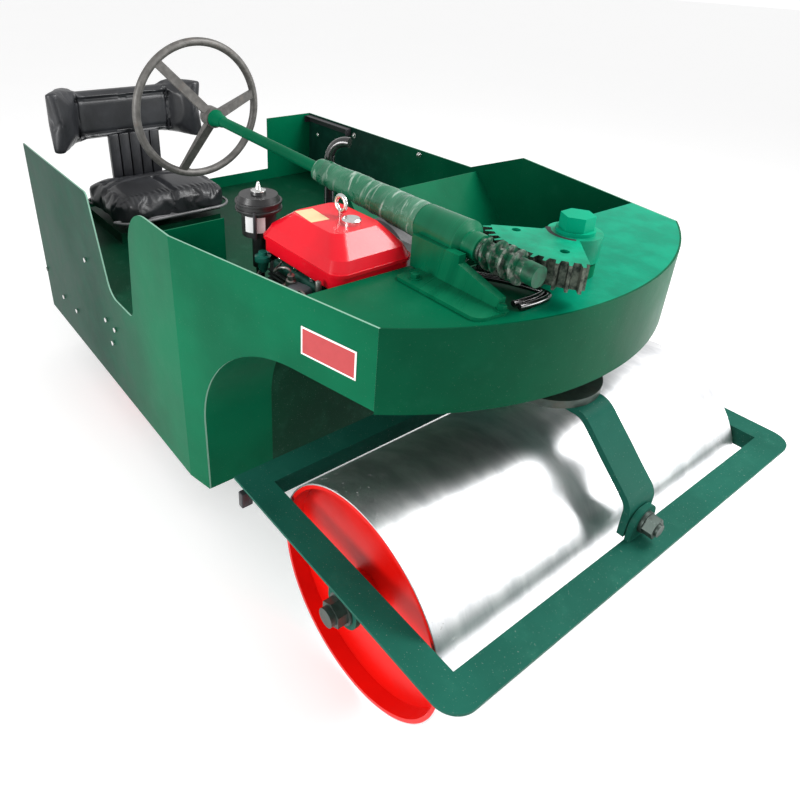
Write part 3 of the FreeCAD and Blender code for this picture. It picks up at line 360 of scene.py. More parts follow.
def ground_paper(name, colour):
    """The studio floor's pale, slightly uneven surface."""
    g = Graph(name)
    tone = g.noise(0.8, 2.0)
    g.feed(Base_Color=g.mix(tone, shade(colour, 0.98), shade(colour, 1.0)), Roughness=0.85,
           Emission_Color=(1, 1, 1, 1), Emission_Strength=0.25)
    return g.material


# Modelling

def clear():
    if bpy.context.mode != "OBJECT":
        bpy.ops.object.mode_set(mode="OBJECT")
    bpy.ops.object.select_all(action="DESELECT")


def take(name):
    piece = bpy.context.object
    piece.name = name
    piece.data.name = name
    return piece


def only(piece):
    """Makes one piece the selected and active object."""
    clear()
    piece.select_set(True)
    bpy.context.view_layer.objects.active = piece
    return piece


def block(name, centre, size, turn=(0, 0, 0)):
    clear()
    bpy.ops.mesh.primitive_cube_add(size=1, location=centre, rotation=turn, scale=size)
    return take(name)


def disc(name, base, radius, depth, towards=(0, 0, 1), sides=32):
    """A cylinder that starts at base and runs towards a direction."""
    clear()
    way = Vector(towards).normalized()
    turn = way.to_track_quat("Z", "Y").to_euler()
    middle = Vector(base) + way * depth / 2
    bpy.ops.mesh.primitive_cylinder_add(vertices=sides, radius=radius, depth=depth,
                                        location=middle, rotation=turn)
    return take(name)


def pick_faces(piece, test):
    """Selects the faces whose centre and normal pass the test, in edit mode."""
    only(piece)
    bpy.ops.object.mode_set(mode="EDIT")
    bpy.ops.mesh.select_mode(type="FACE")
    bpy.ops.mesh.select_all(action="DESELECT")
    bpy.ops.object.mode_set(mode="OBJECT")
    for polygon in piece.data.polygons:
        polygon.select = bool(test(polygon.center, polygon.normal))
    bpy.ops.object.mode_set(mode="EDIT")


def bake_place(piece):
    """Leaves the object at the origin with its place in its mesh."""
    only(piece)
    bpy.ops.object.transform_apply(location=True, rotation=True, scale=True)
    return piece


def use(piece, kind, **settings):
    """Adds a modifier, sets it and applies it."""
    only(piece)
    bpy.ops.object.modifier_add(type=kind)
    modifier = piece.modifiers[-1]
    for name, value in settings.items():
        setattr(modifier, name, value)
    bpy.ops.object.modifier_apply(modifier=modifier.name)
    return piece


def finished(piece, material, body, bevel=0.0, angle=35):
    """Rounds a piece's edges, smooths it, paints it and lets it ride on its body."""
    bake_place(piece)
    if bevel:
        use(piece, "BEVEL", width=bevel, segments=3, limit_method="ANGLE", angle_limit=math.radians(30))
    only(piece)
    bpy.ops.object.shade_smooth_by_angle(angle=math.radians(angle))
    if not piece.data.materials:
        piece.data.materials.append(bpy.data.materials[material])
    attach(piece, body)
    return piece


def turned(name, outline, origin, way, steps=48):
    """A turned piece: (along, radius) corners spun about a line through origin."""
    way = Vector(way).normalized()
    side = way.orthogonal().normalized()
    points = [Vector(origin) + way * along + side * radius for along, radius in outline]
    mesh = bpy.data.meshes.new(name)
    mesh.from_pydata(points, [(i, i + 1) for i in range(len(points) - 1)], [])
    piece = bpy.data.objects.new(name, mesh)
    bpy.context.scene.collection.objects.link(piece)
    only(piece)
    bpy.ops.object.mode_set(mode="EDIT")
    bpy.ops.mesh.select_all(action="SELECT")
    bpy.ops.mesh.spin(steps=steps, angle=math.tau, center=origin, axis=way)
    bpy.ops.mesh.select_all(action="SELECT")
    bpy.ops.mesh.remove_doubles(threshold=0.00005)
    bpy.ops.mesh.normals_make_consistent(inside=False)
    bpy.ops.object.mode_set(mode="OBJECT")
    return piece


def tube(name, points, radius, resolution=10):
    """A bent pipe or hose along a smooth line through the given control points."""
    clear()
    bpy.ops.curve.primitive_nurbs_path_add(location=(0, 0, 0))
    piece = take(name)
    spline = piece.data.splines[0]
    spline.points.add(max(0, len(points) - len(spline.points)))
    while len(piece.data.splines[0].points) > len(points):
        only(piece)
        bpy.ops.object.mode_set(mode="EDIT")
        bpy.ops.curve.select_all(action="DESELECT")
        piece.data.splines[0].points[-1].select = True
        bpy.ops.curve.delete(type="VERT")
        bpy.ops.object.mode_set(mode="OBJECT")
    spline = piece.data.splines[0]
    for point, where in zip(spline.points, points):
        point.co = (*where, 1.0)
    spline.order_u = 3
    spline.use_endpoint_u = True
    piece.data.resolution_u = resolution
    piece.data.bevel_depth = radius
    piece.data.bevel_resolution = 4
    piece.data.use_fill_caps = True
    only(piece)
    bpy.ops.object.convert(target="MESH")
    return take(name)


def joined(name, parts):
    """Several loose parts as one piece."""
    clear()
    for part in parts:
        bake_place(part)
    clear()
    for part in parts:
        part.select_set(True)
    bpy.context.view_layer.objects.active = parts[0]
    bpy.ops.object.join()
    return take(name)


def hexagon(name, base, across, high, towards):
    """A six-sided nut or bolt head with a chamfered top."""
    piece = bake_place(disc(name, base, across / 2 / math.cos(math.radians(30)), high, towards, 6))
    way = Vector(towards).normalized()
    pick_faces(piece, lambda centre, normal: normal.dot(way) > 0.9)
    bpy.ops.mesh.inset(thickness=across * 0.07)
    bpy.ops.transform.translate(value=way * across * 0.04)
    bpy.ops.object.mode_set(mode="OBJECT")
    return piece


# Settings

class PaintSettings(bpy.types.PropertyGroup):
    hull_green: bpy.props.FloatVectorProperty(
        name="Hull green", description="Enamel on the hull plates", subtype="COLOR", size=3,
        min=0, max=1, default=(0.0, 0.105, 0.046))
    gear_green: bpy.props.FloatVectorProperty(
        name="Gear green", description="Brighter enamel on the steering sector", subtype="COLOR",
        size=3, min=0, max=1, default=(0.0, 0.235, 0.13))
    ring_green: bpy.props.FloatVectorProperty(
        name="Frame green", description="Enamel on the front drum's frame", subtype="COLOR", size=3,
        min=0, max=1, default=(0.010, 0.088, 0.062))
    tank_red: bpy.props.FloatVectorProperty(
        name="Tank red", description="Gloss enamel on the fuel tank", subtype="COLOR", size=3,
        min=0, max=1, default=(0.70, 0.004, 0.016))
    drum_red: bpy.props.FloatVectorProperty(
        name="Drum red", description="Paint inside the drums' rims", subtype="COLOR", size=3,
        min=0, max=1, default=(0.66, 0.004, 0.002))
    vinyl_black: bpy.props.FloatVectorProperty(
        name="Vinyl", description="Cover of the seat pads", subtype="COLOR", size=3,
        min=0, max=1, default=(0.016, 0.017, 0.020))
    wheel_grey: bpy.props.FloatVectorProperty(
        name="Wheel grey", description="Aged grey of the steering wheel", subtype="COLOR", size=3,
        min=0, max=1, default=(0.13, 0.125, 0.118))


class SeatSettings(bpy.types.PropertyGroup):
    voxel: bpy.props.FloatProperty(
        name="Cover mesh", description="Cell size of the pads before they are blown up",
        default=0.008, min=0.003, max=0.02, unit="LENGTH")
    pressure: bpy.props.FloatProperty(
        name="Filling", description="How hard the filling pushes the cover out", default=4.0,
        min=0, max=20)
    reach: bpy.props.FloatProperty(
        name="Most swelling", description="Farthest that the cover may move out",
        default=0.022, min=0, max=0.05, unit="LENGTH")


class FittingSettings(bpy.types.PropertyGroup):
    badge_width: bpy.props.FloatProperty(
        name="Badge width", description="Length of the blank badge on the right side",
        default=0.163, min=0.05, max=0.4, unit="LENGTH")
    badge_height: bpy.props.FloatProperty(
        name="Badge height", description="Height of the blank badge", default=0.073, min=0.02, max=0.2,
        unit="LENGTH")
    bolt_size: bpy.props.FloatProperty(
        name="Bolt size", description="Width across a panel bolt's flats", default=0.017, min=0.005,
        max=0.04, unit="LENGTH")


class StageSettings(bpy.types.PropertyGroup):
    floor_colour: bpy.props.FloatVectorProperty(
        name="Floor", description="Colour of the studio floor", subtype="COLOR", size=3, min=0, max=1,
        default=(0.93, 0.93, 0.93))
    key_power: bpy.props.FloatProperty(
        name="Key light", description="Power of the large light overhead", default=120.0, min=0,
        unit="POWER")
    fill_power: bpy.props.FloatProperty(
        name="Fill light", description="Power of the lights at the sides", default=60.0, min=0,
        unit="POWER")
    sky: bpy.props.FloatProperty(
        name="Room light", description="Brightness of the white room", default=0.75, min=0, max=5)


class Step(bpy.types.Operator):
    """Shared settings of the roller's operators."""

    bl_options = {"REGISTER", "UNDO"}


class PITCHROLLER_OT_stage(Step):
    """Floor, soft lights and the camera."""

    bl_idname = "pitch_roller.stage"
    bl_label = "Studio"

    def execute(self, context):
        stage = context.scene.roller_stage
        scene = context.scene
        clear()
        bpy.ops.mesh.primitive_plane_add(size=60, location=(0, 0, 0))
        floor = take("studio_floor")
        floor.data.materials.append(ground_paper("floor_paper", stage.floor_colour))
        world = bpy.data.worlds.new("white_room")
        scene.world = world
        world.use_nodes = True
        scene.view_settings.view_transform = "Standard"
        tree = world.node_tree
        ground = tree.nodes["Background"]
        ground.inputs["Color"].default_value = (1, 1, 1, 1)
        path = tree.nodes.new("ShaderNodeLightPath")
        sky = tree.nodes.new("ShaderNodeMapRange")
        sky.inputs["To Min"].default_value = stage.sky
        sky.inputs["To Max"].default_value = 1.05
        tree.links.new(path.outputs["Is Camera Ray"], sky.inputs["Value"])
        tree.links.new(sky.outputs["Result"], ground.inputs["Strength"])
        self.lamp("key_light", (1.4, 1.6, 3.2), (0.7, 0.1, 0.7), 1.6, stage.key_power)
        self.lamp("side_light", (0.2, -3.2, 1.6), (0.35, -0.7, 0.7), 1.2, stage.fill_power)
        self.lamp("front_light", (3.6, 2.2, 1.4), (1.0, 0.2, 0.7), 1.2, stage.fill_power)
        clear()
        bpy.ops.object.camera_add(location=(1.7346, -1.3528, 1.6989))
        camera = take("studio_camera")
        right, down = (0.60229, 0.79766, 0.0292), (0.3949, -0.2662, -0.8793)
        ahead = (-0.69378, 0.54114, -0.47545)
        turn = Matrix([(right[i], -down[i], -ahead[i]) for i in range(3)])
        camera.rotation_euler = turn.to_euler()
        camera.data.sensor_width = 36.0
        camera.data.lens = 30.672
        camera.data.shift_x = 0.07283
        camera.data.shift_y = -0.10852
        camera.data.clip_end = 100
        scene.camera = camera
        return {"FINISHED"}

    def lamp(self, name, where, target, size, power):
        clear()
        turn = (Vector(target) - Vector(where)).to_track_quat("-Z", "Y").to_euler()
        bpy.ops.object.light_add(type="AREA", location=where, rotation=turn)
        lamp = take(name)
        lamp.data.shape = "SQUARE"
        lamp.data.size = size
        lamp.data.energy = power


GREEN_NODES = ("rear_panel", "front_bulkhead", "sloped_bulkhead", "right_arch_liner",
               "left_arch_liner", "kingpin_beam", "kingpin_housing", "tow_bracket",
               "rear_axle_brackets", "steering_shaft")


class PITCHROLLER_OT_finishes(Step):
    """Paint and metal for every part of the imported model."""

    bl_idname = "pitch_roller.finishes"
    bl_label = "Finishes"

    def execute(self, context):
        paint = context.scene.roller_paint
        green = paint.hull_green
        enamel("hull_enamel", green)
        # Right side panel: painted shade darkens it towards its rear, and paler edges are painted
        # highlights.
        enamel("panel_enamel", green, edge=0.8, painted_light_gradient=(0, 0.05, -0.55, (0.004, 0.042, 0.025, 1)))
        # Left wall: a darker copy of the hull green as painted shade, darker still towards its rear,
        # with paler edges as painted highlights.
        enamel("wall_enamel", shade(green, 0.75), edge=0.6,
               painted_light_gradient=(0, -0.2, -0.8, (0.004, 0.03, 0.02, 1)))
        # Nose panel: a darker copy of the hull green, as painted shade.
        enamel("nose_enamel", shade(green, 0.62))
        # Deck: a brighter green towards +y, the left side, as a painted reflection.
        enamel("deck_enamel", green, 0.26, painted_light_gradient=(1, -0.42, 0.05, (0.0, 0.20, 0.115, 1)))
        # Floor plate, engine pan, drum guard and seat pedestal: a much darker copy of the hull green, as
        # painted shade; the dust on it is its own.
        enamel("inside_enamel", shade(green, 0.38), 0.4, 0.9, 0.1)
        toothed("sector_enamel", paint.gear_green)
        threaded("worm_enamel", shade(green, 0.6))
        wrapping("film_enamel", green, 0.66, 0.3)
        enamel("gear_enamel", paint.gear_green, 0.34)
        enamel("ring_enamel", paint.ring_green, 0.36, 0.8, edge=0.0)
        enamel("glass_green", (0.02, 0.20, 0.15), 0.12, 0.2, 0.5)
        black_finish("hose_black", 0.12, 0.006, 0.9)
        # Near-black finish for the strip that stands in for the shade in the sector's slot.
        black_finish("painted_recess_shade", 0.6, 0.004, 0.0)
        vinyl("piping_vinyl", (0.16, 0.16, 0.165))
        enamel("tank_enamel", paint.tank_red, 0.16, 0.12, 0.35)
        rolled_steel("front_shell_steel", AXLE_FRONT, paint.drum_red)
        rolled_steel("rear_shell_steel", AXLE_REAR, paint.drum_red)
        bare_steel("worn_steel", (0.34, 0.33, 0.31), 0.3, 0.5)
        bare_steel("wheel_metal", paint.wheel_grey, 0.36, 0.25, 0.35)
        bare_steel("oiled_steel", (0.05, 0.07, 0.06), 0.3, 0.15, 0.5)
        cast_iron("engine_cast", (0.035, 0.045, 0.042))
        cast_iron("flywheel_cast", (0.05, 0.05, 0.052))
        cast_iron("cover_green", (0.010, 0.075, 0.055))
        cast_iron("governor_grey", (0.16, 0.19, 0.21))
        black_finish("black_paint")
        black_finish("black_plastic", 0.28, 0.008)
        bright_plate("bright_plate")
        vinyl("seat_vinyl", paint.vinyl_black)
        wrapping("wrap_film", paint.hull_green)
        card("badge_red", (0.40, 0.012, 0.016))
        card("badge_white", (0.86, 0.85, 0.82))
        card("label_white", (0.80, 0.79, 0.80))
        card("tank_sticker", (0.78, 0.56, 0.30))
        rows = dict.fromkeys(GREEN_NODES, "hull_enamel")
        rows |= {
            "right_side_panel": "panel_enamel", "left_side_panel": "wall_enamel",
            "nose_panel": "nose_enamel", "nose_deck": "deck_enamel",
            "floor_plate": "inside_enamel", "engine_pan": "inside_enamel",
            "drum_guard": "inside_enamel", "seat_pedestal": "inside_enamel",
            "ring_frame": "ring_enamel", "yoke": "ring_enamel", "turntable": "oiled_steel",
            "kingpin": "gear_enamel", "yoke_pins": "oiled_steel", "front_axle": "oiled_steel",
            "axle_nuts": "oiled_steel", "rear_axle": "worn_steel",
            "front_drum": "front_shell_steel", "rear_drum": "rear_shell_steel",
            "steering_sector": "sector_enamel", "sector_nut": "gear_enamel",
            "worm": "worm_enamel", "worm_housing": "film_enamel", "column_sleeve": "wrap_film",
            "steering_wheel": "wheel_metal", "engine_block": "engine_cast",
            "flywheel": "flywheel_cast", "fuel_tank": "tank_enamel", "fuel_cap": "bright_plate",
            "lifting_eye": "bright_plate", "air_cleaner": "black_plastic",
            "exhaust_pipe": "hose_black", "seat_frame": "black_paint",
            "seat_cushion": "seat_vinyl", "seat_back": "seat_vinyl"}
        for node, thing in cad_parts.items():
            material = bpy.data.materials[rows[node]]
            if thing.material_slots:
                for slot in thing.material_slots:
                    slot.material = material
            else:
                thing.data.materials.append(material)
        return {"FINISHED"}


class PITCHROLLER_OT_seat_pads(Step):
    """The two vinyl pads, blown up from the plain solids, with piping round the lower one."""

    bl_idname = "pitch_roller.seat_pads"
    bl_label = "Seat pads"

    def execute(self, context):
        seat = context.scene.roller_seat
        for node in ("seat_cushion", "seat_back"):
            pad = self.blown(node, seat)
            self.sewn(pad, node)
            finished(pad, "seat_vinyl", "chassis", angle=80)
            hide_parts(node)
        self.piping()
        self.riser()
        return {"FINISHED"}

    def sewn(self, pad, node):
        """Presses the sewn channels, the centre crease and the pleats into the blown cover."""
        low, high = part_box(node)
        middle = (low.y + high.y) / 2

        def groove(distance, width):
            return math.exp(-(distance / width) ** 2)

        for vertex in pad.data.vertices:
            co, normal = vertex.co, vertex.normal
            if node == "seat_cushion" and normal.z > 0.2:
                along, side = high.x - co.x, co.y - middle
                depth = 0.011 * groove(side - 0.02 * math.sin(along * 9), 0.010) * (along < 0.27)
                for place in (0.285, 0.335):
                    line = place - 0.10 * (side / 0.25) ** 2
                    depth += 0.008 * groove(along - line, 0.008) * (abs(side) < 0.2)
                bolster = 0.06 + 0.05 * groove(side / 0.25, 0.6)
                depth += 0.005 * groove(abs(side) - 0.19, 0.012) * (0.05 < along < 0.3)
                pleat = math.sin(side * 300 + 2 * math.sin(side * 40))
                depth += 0.0022 * pleat * groove(along - bolster * 0.6, 0.024) * (abs(side) < 0.2)
                co.z -= depth
            if node == "seat_back" and normal.x > 0.35:
                rise, side = co.z - low.z, abs(co.y - middle)
                depth = 0.009 * groove(rise - 0.185, 0.009) * (side < 0.20)
                depth += 0.009 * groove(rise - 0.045, 0.009) * (side < 0.20)
                depth += 0.009 * groove(side - 0.195, 0.010) * (0.04 < rise < 0.19)
                depth += 0.005 * (side < 0.19) * (0.05 < rise < 0.18)
                co.x -= depth

    def piping(self):
        """A sewn cord round the cushion's lower edge."""
        low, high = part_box("seat_cushion")
        corners = ((high.x, low.y), (high.x, high.y), (low.x, high.y), (low.x, low.y))
        points = []
        for index, (x, y) in enumerate(corners):
            reach = 0.075 if index < 2 else 0.055
            mid_x, mid_y = x + reach * (1 if x == low.x else -1), y + reach * (1 if y == low.y else -1)
            start = math.atan2(y - mid_y, x - mid_x) - math.pi / 4
            for step in range(7):
                turn = start + math.pi / 12 * step
                points.append((mid_x + reach * math.cos(turn) * 1.03,
                               mid_y + reach * math.sin(turn) * 1.03, low.z + 0.012))
        middle = [(high.x + 0.002, (low.y + high.y) / 2, low.z + 0.012)]
        cord = tube("seat_piping", middle + points[:0:-1][::-1] + middle, 0.0055)
        finished(cord, "piping_vinyl", "chassis", angle=60)

    def riser(self):
        """The folded vinyl cover between the pads: five upright rolls over a backing."""
        low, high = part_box("seat_frame")
        middle = (low.y + high.y) / 2
        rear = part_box("seat_back")[0].x + 0.042
        foot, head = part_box("seat_cushion")[0].z + 0.01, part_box("seat_back")[0].z + 0.035
        height = (foot + head) / 2
        rolls = [block("roll", (rear + 0.008, middle + at, height), (0.024, 0.040, head - foot))
                 for at in ROLL_PLACES]
        rolls.append(block("backing", (rear + 0.002, middle, height),
                           (0.006, 0.215, head - foot - 0.01)))
        finished(joined("riser_cover", rolls), "seat_vinyl", "chassis", 0.009)

    def blown(self, node, seat):
        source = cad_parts[node]
        only(source)
        bpy.ops.object.duplicate()
        pad = bpy.context.object
        pad.name = node + "_pad"
        pad.parent = None
        for key in list(pad.keys()):
            del pad[key]
        pad.data.materials.clear()
        only(pad)
        bpy.ops.object.mode_set(mode="EDIT")
        bpy.ops.mesh.select_all(action="SELECT")
        bpy.ops.mesh.remove_doubles(threshold=0.0001)
        bpy.ops.object.mode_set(mode="OBJECT")
        use(pad, "REMESH", mode="VOXEL", voxel_size=seat.voxel)
        use(pad, "SMOOTH", factor=0.5, iterations=6)
        self.inflate(pad, seat)
        use(pad, "SUBSURF", levels=1, render_levels=1)
        return pad

    def inflate(self, pad, seat):
        rest = [vertex.co.copy() for vertex in pad.data.vertices]
        low = min(co.z for co in rest)
        only(pad)
        bpy.ops.object.modifier_add(type="CLOTH")
        cloth = pad.modifiers[-1]
        cloth.settings.use_pressure = True
        cloth.settings.uniform_pressure_force = seat.pressure
        cloth.settings.effector_weights.gravity = 0
        scene = bpy.context.scene
        for number in range(1, 16):
            scene.frame_set(number)
        bpy.ops.object.modifier_apply(modifier=cloth.name)
        scene.frame_set(1)
        for vertex, before in zip(pad.data.vertices, rest):
            move = vertex.co - before
            if move.length > seat.reach:
                vertex.co = before + move.normalized() * seat.reach
            vertex.co.z = max(vertex.co.z, low - 0.004)


class PITCHROLLER_OT_labels(Step):
    """The blank badge on the right side, the tank's blank sticker and the canister's blank label."""

    bl_idname = "pitch_roller.labels"
    bl_label = "Blank labels"

    def execute(self, context):
        sizes = context.scene.roller_fittings
        middle = Vector((0.713, -0.5908, 0.9105))
        badge = self.plate("side_badge", middle, (sizes.badge_width, 0.0016, sizes.badge_height),
                           (0, 0, math.atan2(0.144, 0.682)))
        finished(badge, "badge_white", "chassis", 0.0004)
        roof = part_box("fuel_cap")[0].z
        sticker = block("tank_label", (0.434, -0.441, roof + 0.0003), (0.086, 0.050, 0.0008),
                        (0, 0, math.radians(-6)))
        finished(sticker, "tank_sticker", "chassis", 0.0003)
        low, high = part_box("air_cleaner")
        middle = Vector((low.x / 2 + high.x / 2, CLEANER_Y, 1.036))
        label = disc("canister_label", middle, 0.0468, 0.042, sides=64)
        bake_place(label)
        pick_faces(label, lambda centre, normal: abs(normal.z) > 0.9 or
                   normal.dot(Vector((0.72, -0.69, 0))) < 0.84)
        bpy.ops.mesh.delete(type="FACE")
        bpy.ops.object.mode_set(mode="OBJECT")
        use(label, "SOLIDIFY", thickness=0.0006, offset=1.0)
        finished(label, "label_white", "chassis")
        return {"FINISHED"}

    def plate(self, name, middle, size, turn):
        piece = block(name, middle, size, turn)
        bake_place(piece)
        piece.data.materials.append(bpy.data.materials["badge_white"])
        piece.data.materials.append(bpy.data.materials["badge_red"])
        pick_faces(piece, lambda centre, normal: normal.y < -0.8)
        bpy.ops.mesh.inset(thickness=0.0045)
        bpy.context.object.active_material_index = 1
        bpy.ops.object.material_slot_assign()
        bpy.ops.object.mode_set(mode="OBJECT")
        return piece


class PITCHROLLER_OT_column_wrap(Step):
    """The steering column's sleeve, wound in clear film."""

    bl_idname = "pitch_roller.column_wrap"
    bl_label = "Wrapped sleeve"

    def execute(self, context):
        low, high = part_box("column_sleeve")
        way = COLUMN_WAY
        start = Vector((low.x, (low.y + high.y) / 2, 0))
        worm_low, worm_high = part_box("worm")
        start.z = (worm_low.z + worm_high.z) / 2 + (AXLE_FRONT - low.x) * math.tan(COLUMN_TILT)
        length = (high.x - low.x) / math.cos(COLUMN_TILT)
        steps = 90
        outline = [(0.0, 0.020), (0.0, 0.028)]
        for index in range(steps + 1):
            share = index / steps
            outline.append((0.004 + (length - 0.006) * share, 0.0335 + 0.0125 * share))
        outline.append((length - 0.001, 0.020))
        sleeve = turned("wrapped_sleeve", outline, start, way, 64)
        for vertex in sleeve.data.vertices:
            offset = vertex.co - start
            along = offset.dot(way)
            out = offset - way * along
            if out.length < 0.024:
                continue
            twist = math.atan2(out.z, out.y)
            fold = noise.noise(Vector((along * 38 + twist * 0.9, twist * 0.8, 0.0)))
            wave = noise.noise(Vector((along * 11, math.cos(twist) * 0.8, math.sin(twist) * 0.8)))
            vertex.co += out.normalized() * (fold * 0.0028 + wave * 0.0030)
        finished(sleeve, "wrap_film", "chassis", angle=60)
        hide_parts("column_sleeve")
        return {"FINISHED"}


class PITCHROLLER_OT_bolts(Step):
    """Small bolts on the right side and the left wall, and the wall's rear rail."""

    bl_idname = "pitch_roller.bolts"
    bl_label = "Panel bolts"

    def execute(self, context):
        size = context.scene.roller_fittings.bolt_size
        right = ((-0.463, 0.490), (-0.377, 0.489), (-0.421, 0.414), (-0.835, 0.361), (-0.604, 0.672),
                 (-1.212, 0.403), (-1.004, 0.353))
        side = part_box("right_side_panel")[0].y
        parts = [hexagon("bolt", (x, side, z), size, size * 0.45, (0, -1, 0)) for x, z in right]
        bolts = joined("right_panel_bolts", parts)
        finished(bolts, "bright_plate", "chassis", 0.0006)
        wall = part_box("left_side_panel")[1].y - 0.005
        left = ((-0.388, 0.905), (-0.846, 0.893), (-1.15, 0.83), (-0.70, 0.62))
        parts = [hexagon("bolt", (x, wall, z), size, size * 0.5, (0, -1, 0)) for x, z in left]
        parts += [disc("washer", (x, wall, z), size * 0.72, 0.0025, (0, -1, 0)) for x, z in left]
        finished(joined("left_wall_bolts", parts), "bright_plate", "chassis", 0.0005)
        rail = block("rear_rail", (-1.045, wall - 0.017, 0.903), (0.35, 0.034, 0.034))
        bake_place(rail)
        pick_faces(rail, lambda centre, normal: normal.z < -0.9 or normal.y < -0.9)
        bpy.ops.mesh.delete(type="FACE")
        bpy.ops.object.mode_set(mode="OBJECT")
        use(rail, "SOLIDIFY", thickness=0.005, offset=-1.0)
        finished(rail, "black_paint", "chassis", 0.001)
        stop = block("frame_stop", (0.487, -0.690, 0.366), (0.020, 0.034, 0.05))
        finished(stop, "black_paint", "front_frame", 0.003)
        return {"FINISHED"}


class PITCHROLLER_OT_engine_fittings(Step):
    """The engine's finned head, its pump, pipes, lever and fuel bowl beside the tank."""

    bl_idname = "pitch_roller.engine_fittings"
    bl_label = "Engine fittings"

    def execute(self, context):
        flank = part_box("engine_block")[0].y
        fins = [block("fin", (0.455, flank - 0.037, 0.872 + 0.013 * row), (0.230, 0.080, 0.005))
                for row in range(7)]
        fins.append(block("core", (0.455, flank - 0.028, 0.911), (0.205, 0.062, 0.084)))
        finished(joined("head_fins", fins), "engine_cast", "chassis", 0.0012)
        cover = block("rocker_cover", (0.455, flank - 0.040, 0.971), (0.190, 0.070, 0.030))
        finished(cover, "cover_green", "chassis", 0.010)
        nuts = [hexagon("nut", (x, flank - 0.064, 0.986), 0.014, 0.010, (0, 0, 1))
                for x in (0.385, 0.455, 0.525)]
        finished(joined("cover_nuts", nuts), "bright_plate", "chassis", 0.0005)
        pump = turned("injector_pump",
                      [(0, 0), (0, 0.020), (0.022, 0.020), (0.024, 0.026), (0.034, 0.026),
                       (0.036, 0.014), (0.058, 0.013), (0.060, 0.009), (0.072, 0.009), (0.072, 0)],
                      (0.475, flank - 0.092, 0.925), (0.15, -0.1, 1), 32)
        finished(pump, "worn_steel", "chassis", 0.0008)
        governor = block("governor_box", (0.515, flank - 0.094, 0.945), (0.055, 0.045, 0.060),
                         (0, 0, 0.25))
        finished(governor, "governor_grey", "chassis", 0.007)
        pipes = [tube("pipe", points, 0.0032) for points in (
            ((0.482, -0.536, 0.995), (0.484, -0.537, 1.010), (0.462, -0.552, 1.012),
             (0.430, -0.550, 0.985), (0.402, -0.530, 0.975), (0.392, -0.505, 0.985)),
            ((0.530, -0.545, 0.972), (0.545, -0.552, 0.985), (0.575, -0.550, 0.975),
             (0.590, -0.530, 0.940), (0.580, -0.490, 0.910), (0.560, -0.450, 0.905)),
            ((0.500, -0.556, 0.925), (0.460, -0.570, 0.905), (0.400, -0.565, 0.915),
             (0.340, -0.545, 0.930), (0.300, -0.520, 0.925), (0.288, -0.500, 0.930)))]
        finished(joined("fuel_pipes", pipes), "worn_steel", "chassis")
        hose = tube("breather_hose",
                    ((CLEANER_X, CLEANER_Y, 0.940), (CLEANER_X, CLEANER_Y, 0.905),
                     (0.285, -0.505, 0.880), (0.330, -0.510, 0.872), (0.365, -0.490, 0.880),
                     (0.385, -0.465, 0.885)), 0.012)
        finished(hose, "hose_black", "chassis")
        bowl = turned("fuel_bowl",
                      [(0, 0), (0.002, 0.006), (0.010, 0.012), (0.034, 0.016), (0.036, 0.022),
                       (0.050, 0.022), (0.052, 0.012), (0.062, 0.012), (0.062, 0)],
                      (0.302, -0.505, 0.922), (0, 0, 1), 32)
        finished(bowl, "glass_green", "chassis", 0.0006)
        lever = turned("stop_lever",
                       [(0, 0), (0, 0.011), (0.010, 0.011), (0.014, 0.006), (0.060, 0.005),
                        (0.064, 0.008), (0.086, 0.007), (0.090, 0)],
                       (0.604, -0.540, 0.936), (-0.10, 0.06, 1), 24)
        finished(lever, "worn_steel", "chassis", 0.0005)
        bracket = block("lever_bracket", (0.598, -0.497, 0.934), (0.030, 0.112, 0.008))
        finished(bracket, "engine_cast", "chassis", 0.002)
        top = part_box("air_cleaner")[1].z
        knob = turned("cleaner_knob",
                      [(0, 0), (0, 0.020), (0.003, 0.020), (0.005, 0.008), (0.012, 0.007),
                       (0.024, 0.003), (0.026, 0)],
                      (CLEANER_X, CLEANER_Y, top - 0.001), (0, 0, 1), 24)
        finished(knob, "bright_plate", "chassis", 0.0004)
        clip = block("cleaner_clip", (CLEANER_X + 0.040, CLEANER_Y - 0.036, 1.060),
                     (0.016, 0.008, 0.075), (0, 0, math.radians(-40)))
        finished(clip, "black_paint", "chassis", 0.002)
        rims = [turned("rim", [(0, 0.044), (0, 0.0615), (0.007, 0.0615), (0.007, 0.044), (0, 0.044)],
                       (CLEANER_X, CLEANER_Y, height), (0, 0, 1), 48) for height in (1.088, 1.106)]
        finished(joined("cleaner_rims", rims), "black_plastic", "chassis", 0.001)
        return {"FINISHED"}


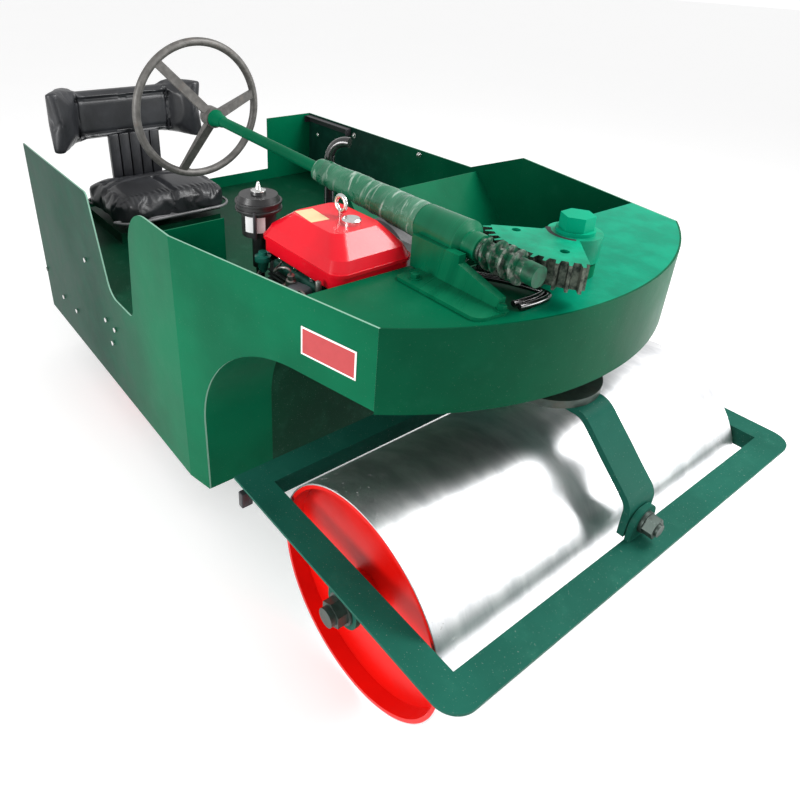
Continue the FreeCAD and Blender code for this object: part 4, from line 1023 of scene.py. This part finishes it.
class PITCHROLLER_OT_steering_fittings(Step):
    """Grease pipes under the worm, the base plate's bolts, a dark strip as painted shade for the
    sector's slot, and the hub's flare.
    """

    bl_idname = "pitch_roller.steering_fittings"
    bl_label = "Steering fittings"

    def execute(self, context):
        rise = DECK_TOP + 0.0075
        runs = [tube("run", ((0.800 + step, -0.218, rise), (0.840 + step, -0.190, rise),
                             (0.925 + step, -0.160, rise), (0.950 + step, -0.158, rise),
                             (0.957 + step, -0.178, rise), (0.957 + step, -0.225, rise),
                             (0.951 + step, -0.262, rise)), 0.0068) for step in (0.0, -0.018)]
        finished(joined("grease_pipes", runs), "hose_black", "chassis")
        heads = [hexagon("head", (0.938, -0.305, DECK_TOP + 0.008), 0.019, 0.012, (0, 0, 1)),
                 hexagon("head", (0.720, -0.352, DECK_TOP + 0.008), 0.019, 0.012, (0, 0, 1)),
                 disc("washer", (0.938, -0.305, DECK_TOP + 0.007), 0.0150, 0.003),
                 disc("washer", (0.720, -0.352, DECK_TOP + 0.007), 0.0150, 0.003)]
        finished(joined("housing_bolts", heads), "hull_enamel", "chassis", 0.0006)
        flare = turned("hub_flare",
                       [(0.004, 0.017), (0.004, 0.034), (0.020, 0.033), (0.034, 0.026),
                        (0.080, 0.0195), (0.082, 0.0172)], WHEEL_HUB, COLUMN_WAY, 40)
        finished(flare, "hull_enamel", "handwheel")
        # Painted shade: a thin near-black strip, flattened onto the sector round the nut, stands in for
        # the shade in its slot; no slot is cut.
        arc = [(AXLE_FRONT + 0.062 * math.cos(turn), 0.062 * math.sin(turn)) for turn in
               [math.radians(-150 + 14 * step) for step in range(8)]]
        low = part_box("sector_nut")[0].z
        slot = tube("sector_slot_shade", [(x, y, low - 0.0005) for x, y in arc], 0.007)
        bake_place(slot)
        for vertex in slot.data.vertices:
            vertex.co.z = low - 0.0005 + (vertex.co.z - low + 0.0005) * 0.12
        finished(slot, "painted_recess_shade", "front_frame")
        return {"FINISHED"}


class PITCHROLLER_PT_sidebar(bpy.types.Panel):
    """Lists the roller's steps and settings."""

    bl_label = "Pitch roller"
    bl_idname = "PITCHROLLER_PT_sidebar"
    bl_space_type = "VIEW_3D"
    bl_region_type = "UI"
    bl_category = "Roller"

    def draw(self, context):
        scene = context.scene
        for operator in STEPS:
            self.layout.operator(operator.bl_idname)
        for group in (scene.roller_paint, scene.roller_seat, scene.roller_fittings, scene.roller_stage):
            box = self.layout.box()
            for name in group.__annotations__:
                box.prop(group, name)


GROUPS = {"roller_paint": PaintSettings, "roller_seat": SeatSettings, "roller_fittings": FittingSettings,
          "roller_stage": StageSettings}
STEPS = (PITCHROLLER_OT_stage, PITCHROLLER_OT_finishes, PITCHROLLER_OT_seat_pads, PITCHROLLER_OT_labels,
         PITCHROLLER_OT_column_wrap, PITCHROLLER_OT_bolts, PITCHROLLER_OT_engine_fittings,
         PITCHROLLER_OT_steering_fittings)


def register():
    for group in GROUPS.values():
        bpy.utils.register_class(group)
    for operator in STEPS:
        bpy.utils.register_class(operator)
    bpy.utils.register_class(PITCHROLLER_PT_sidebar)
    for name, group in GROUPS.items():
        setattr(bpy.types.Scene, name, bpy.props.PointerProperty(type=group))


def unregister():
    for name in GROUPS:
        delattr(bpy.types.Scene, name)
    bpy.utils.unregister_class(PITCHROLLER_PT_sidebar)
    for operator in reversed(STEPS):
        bpy.utils.unregister_class(operator)
    for group in GROUPS.values():
        bpy.utils.unregister_class(group)


def main():
    register()
    for operator in STEPS:
        family, name = operator.bl_idname.split(".")
        getattr(getattr(bpy.ops, family), name)()


if __name__ == "__main__":
    main()
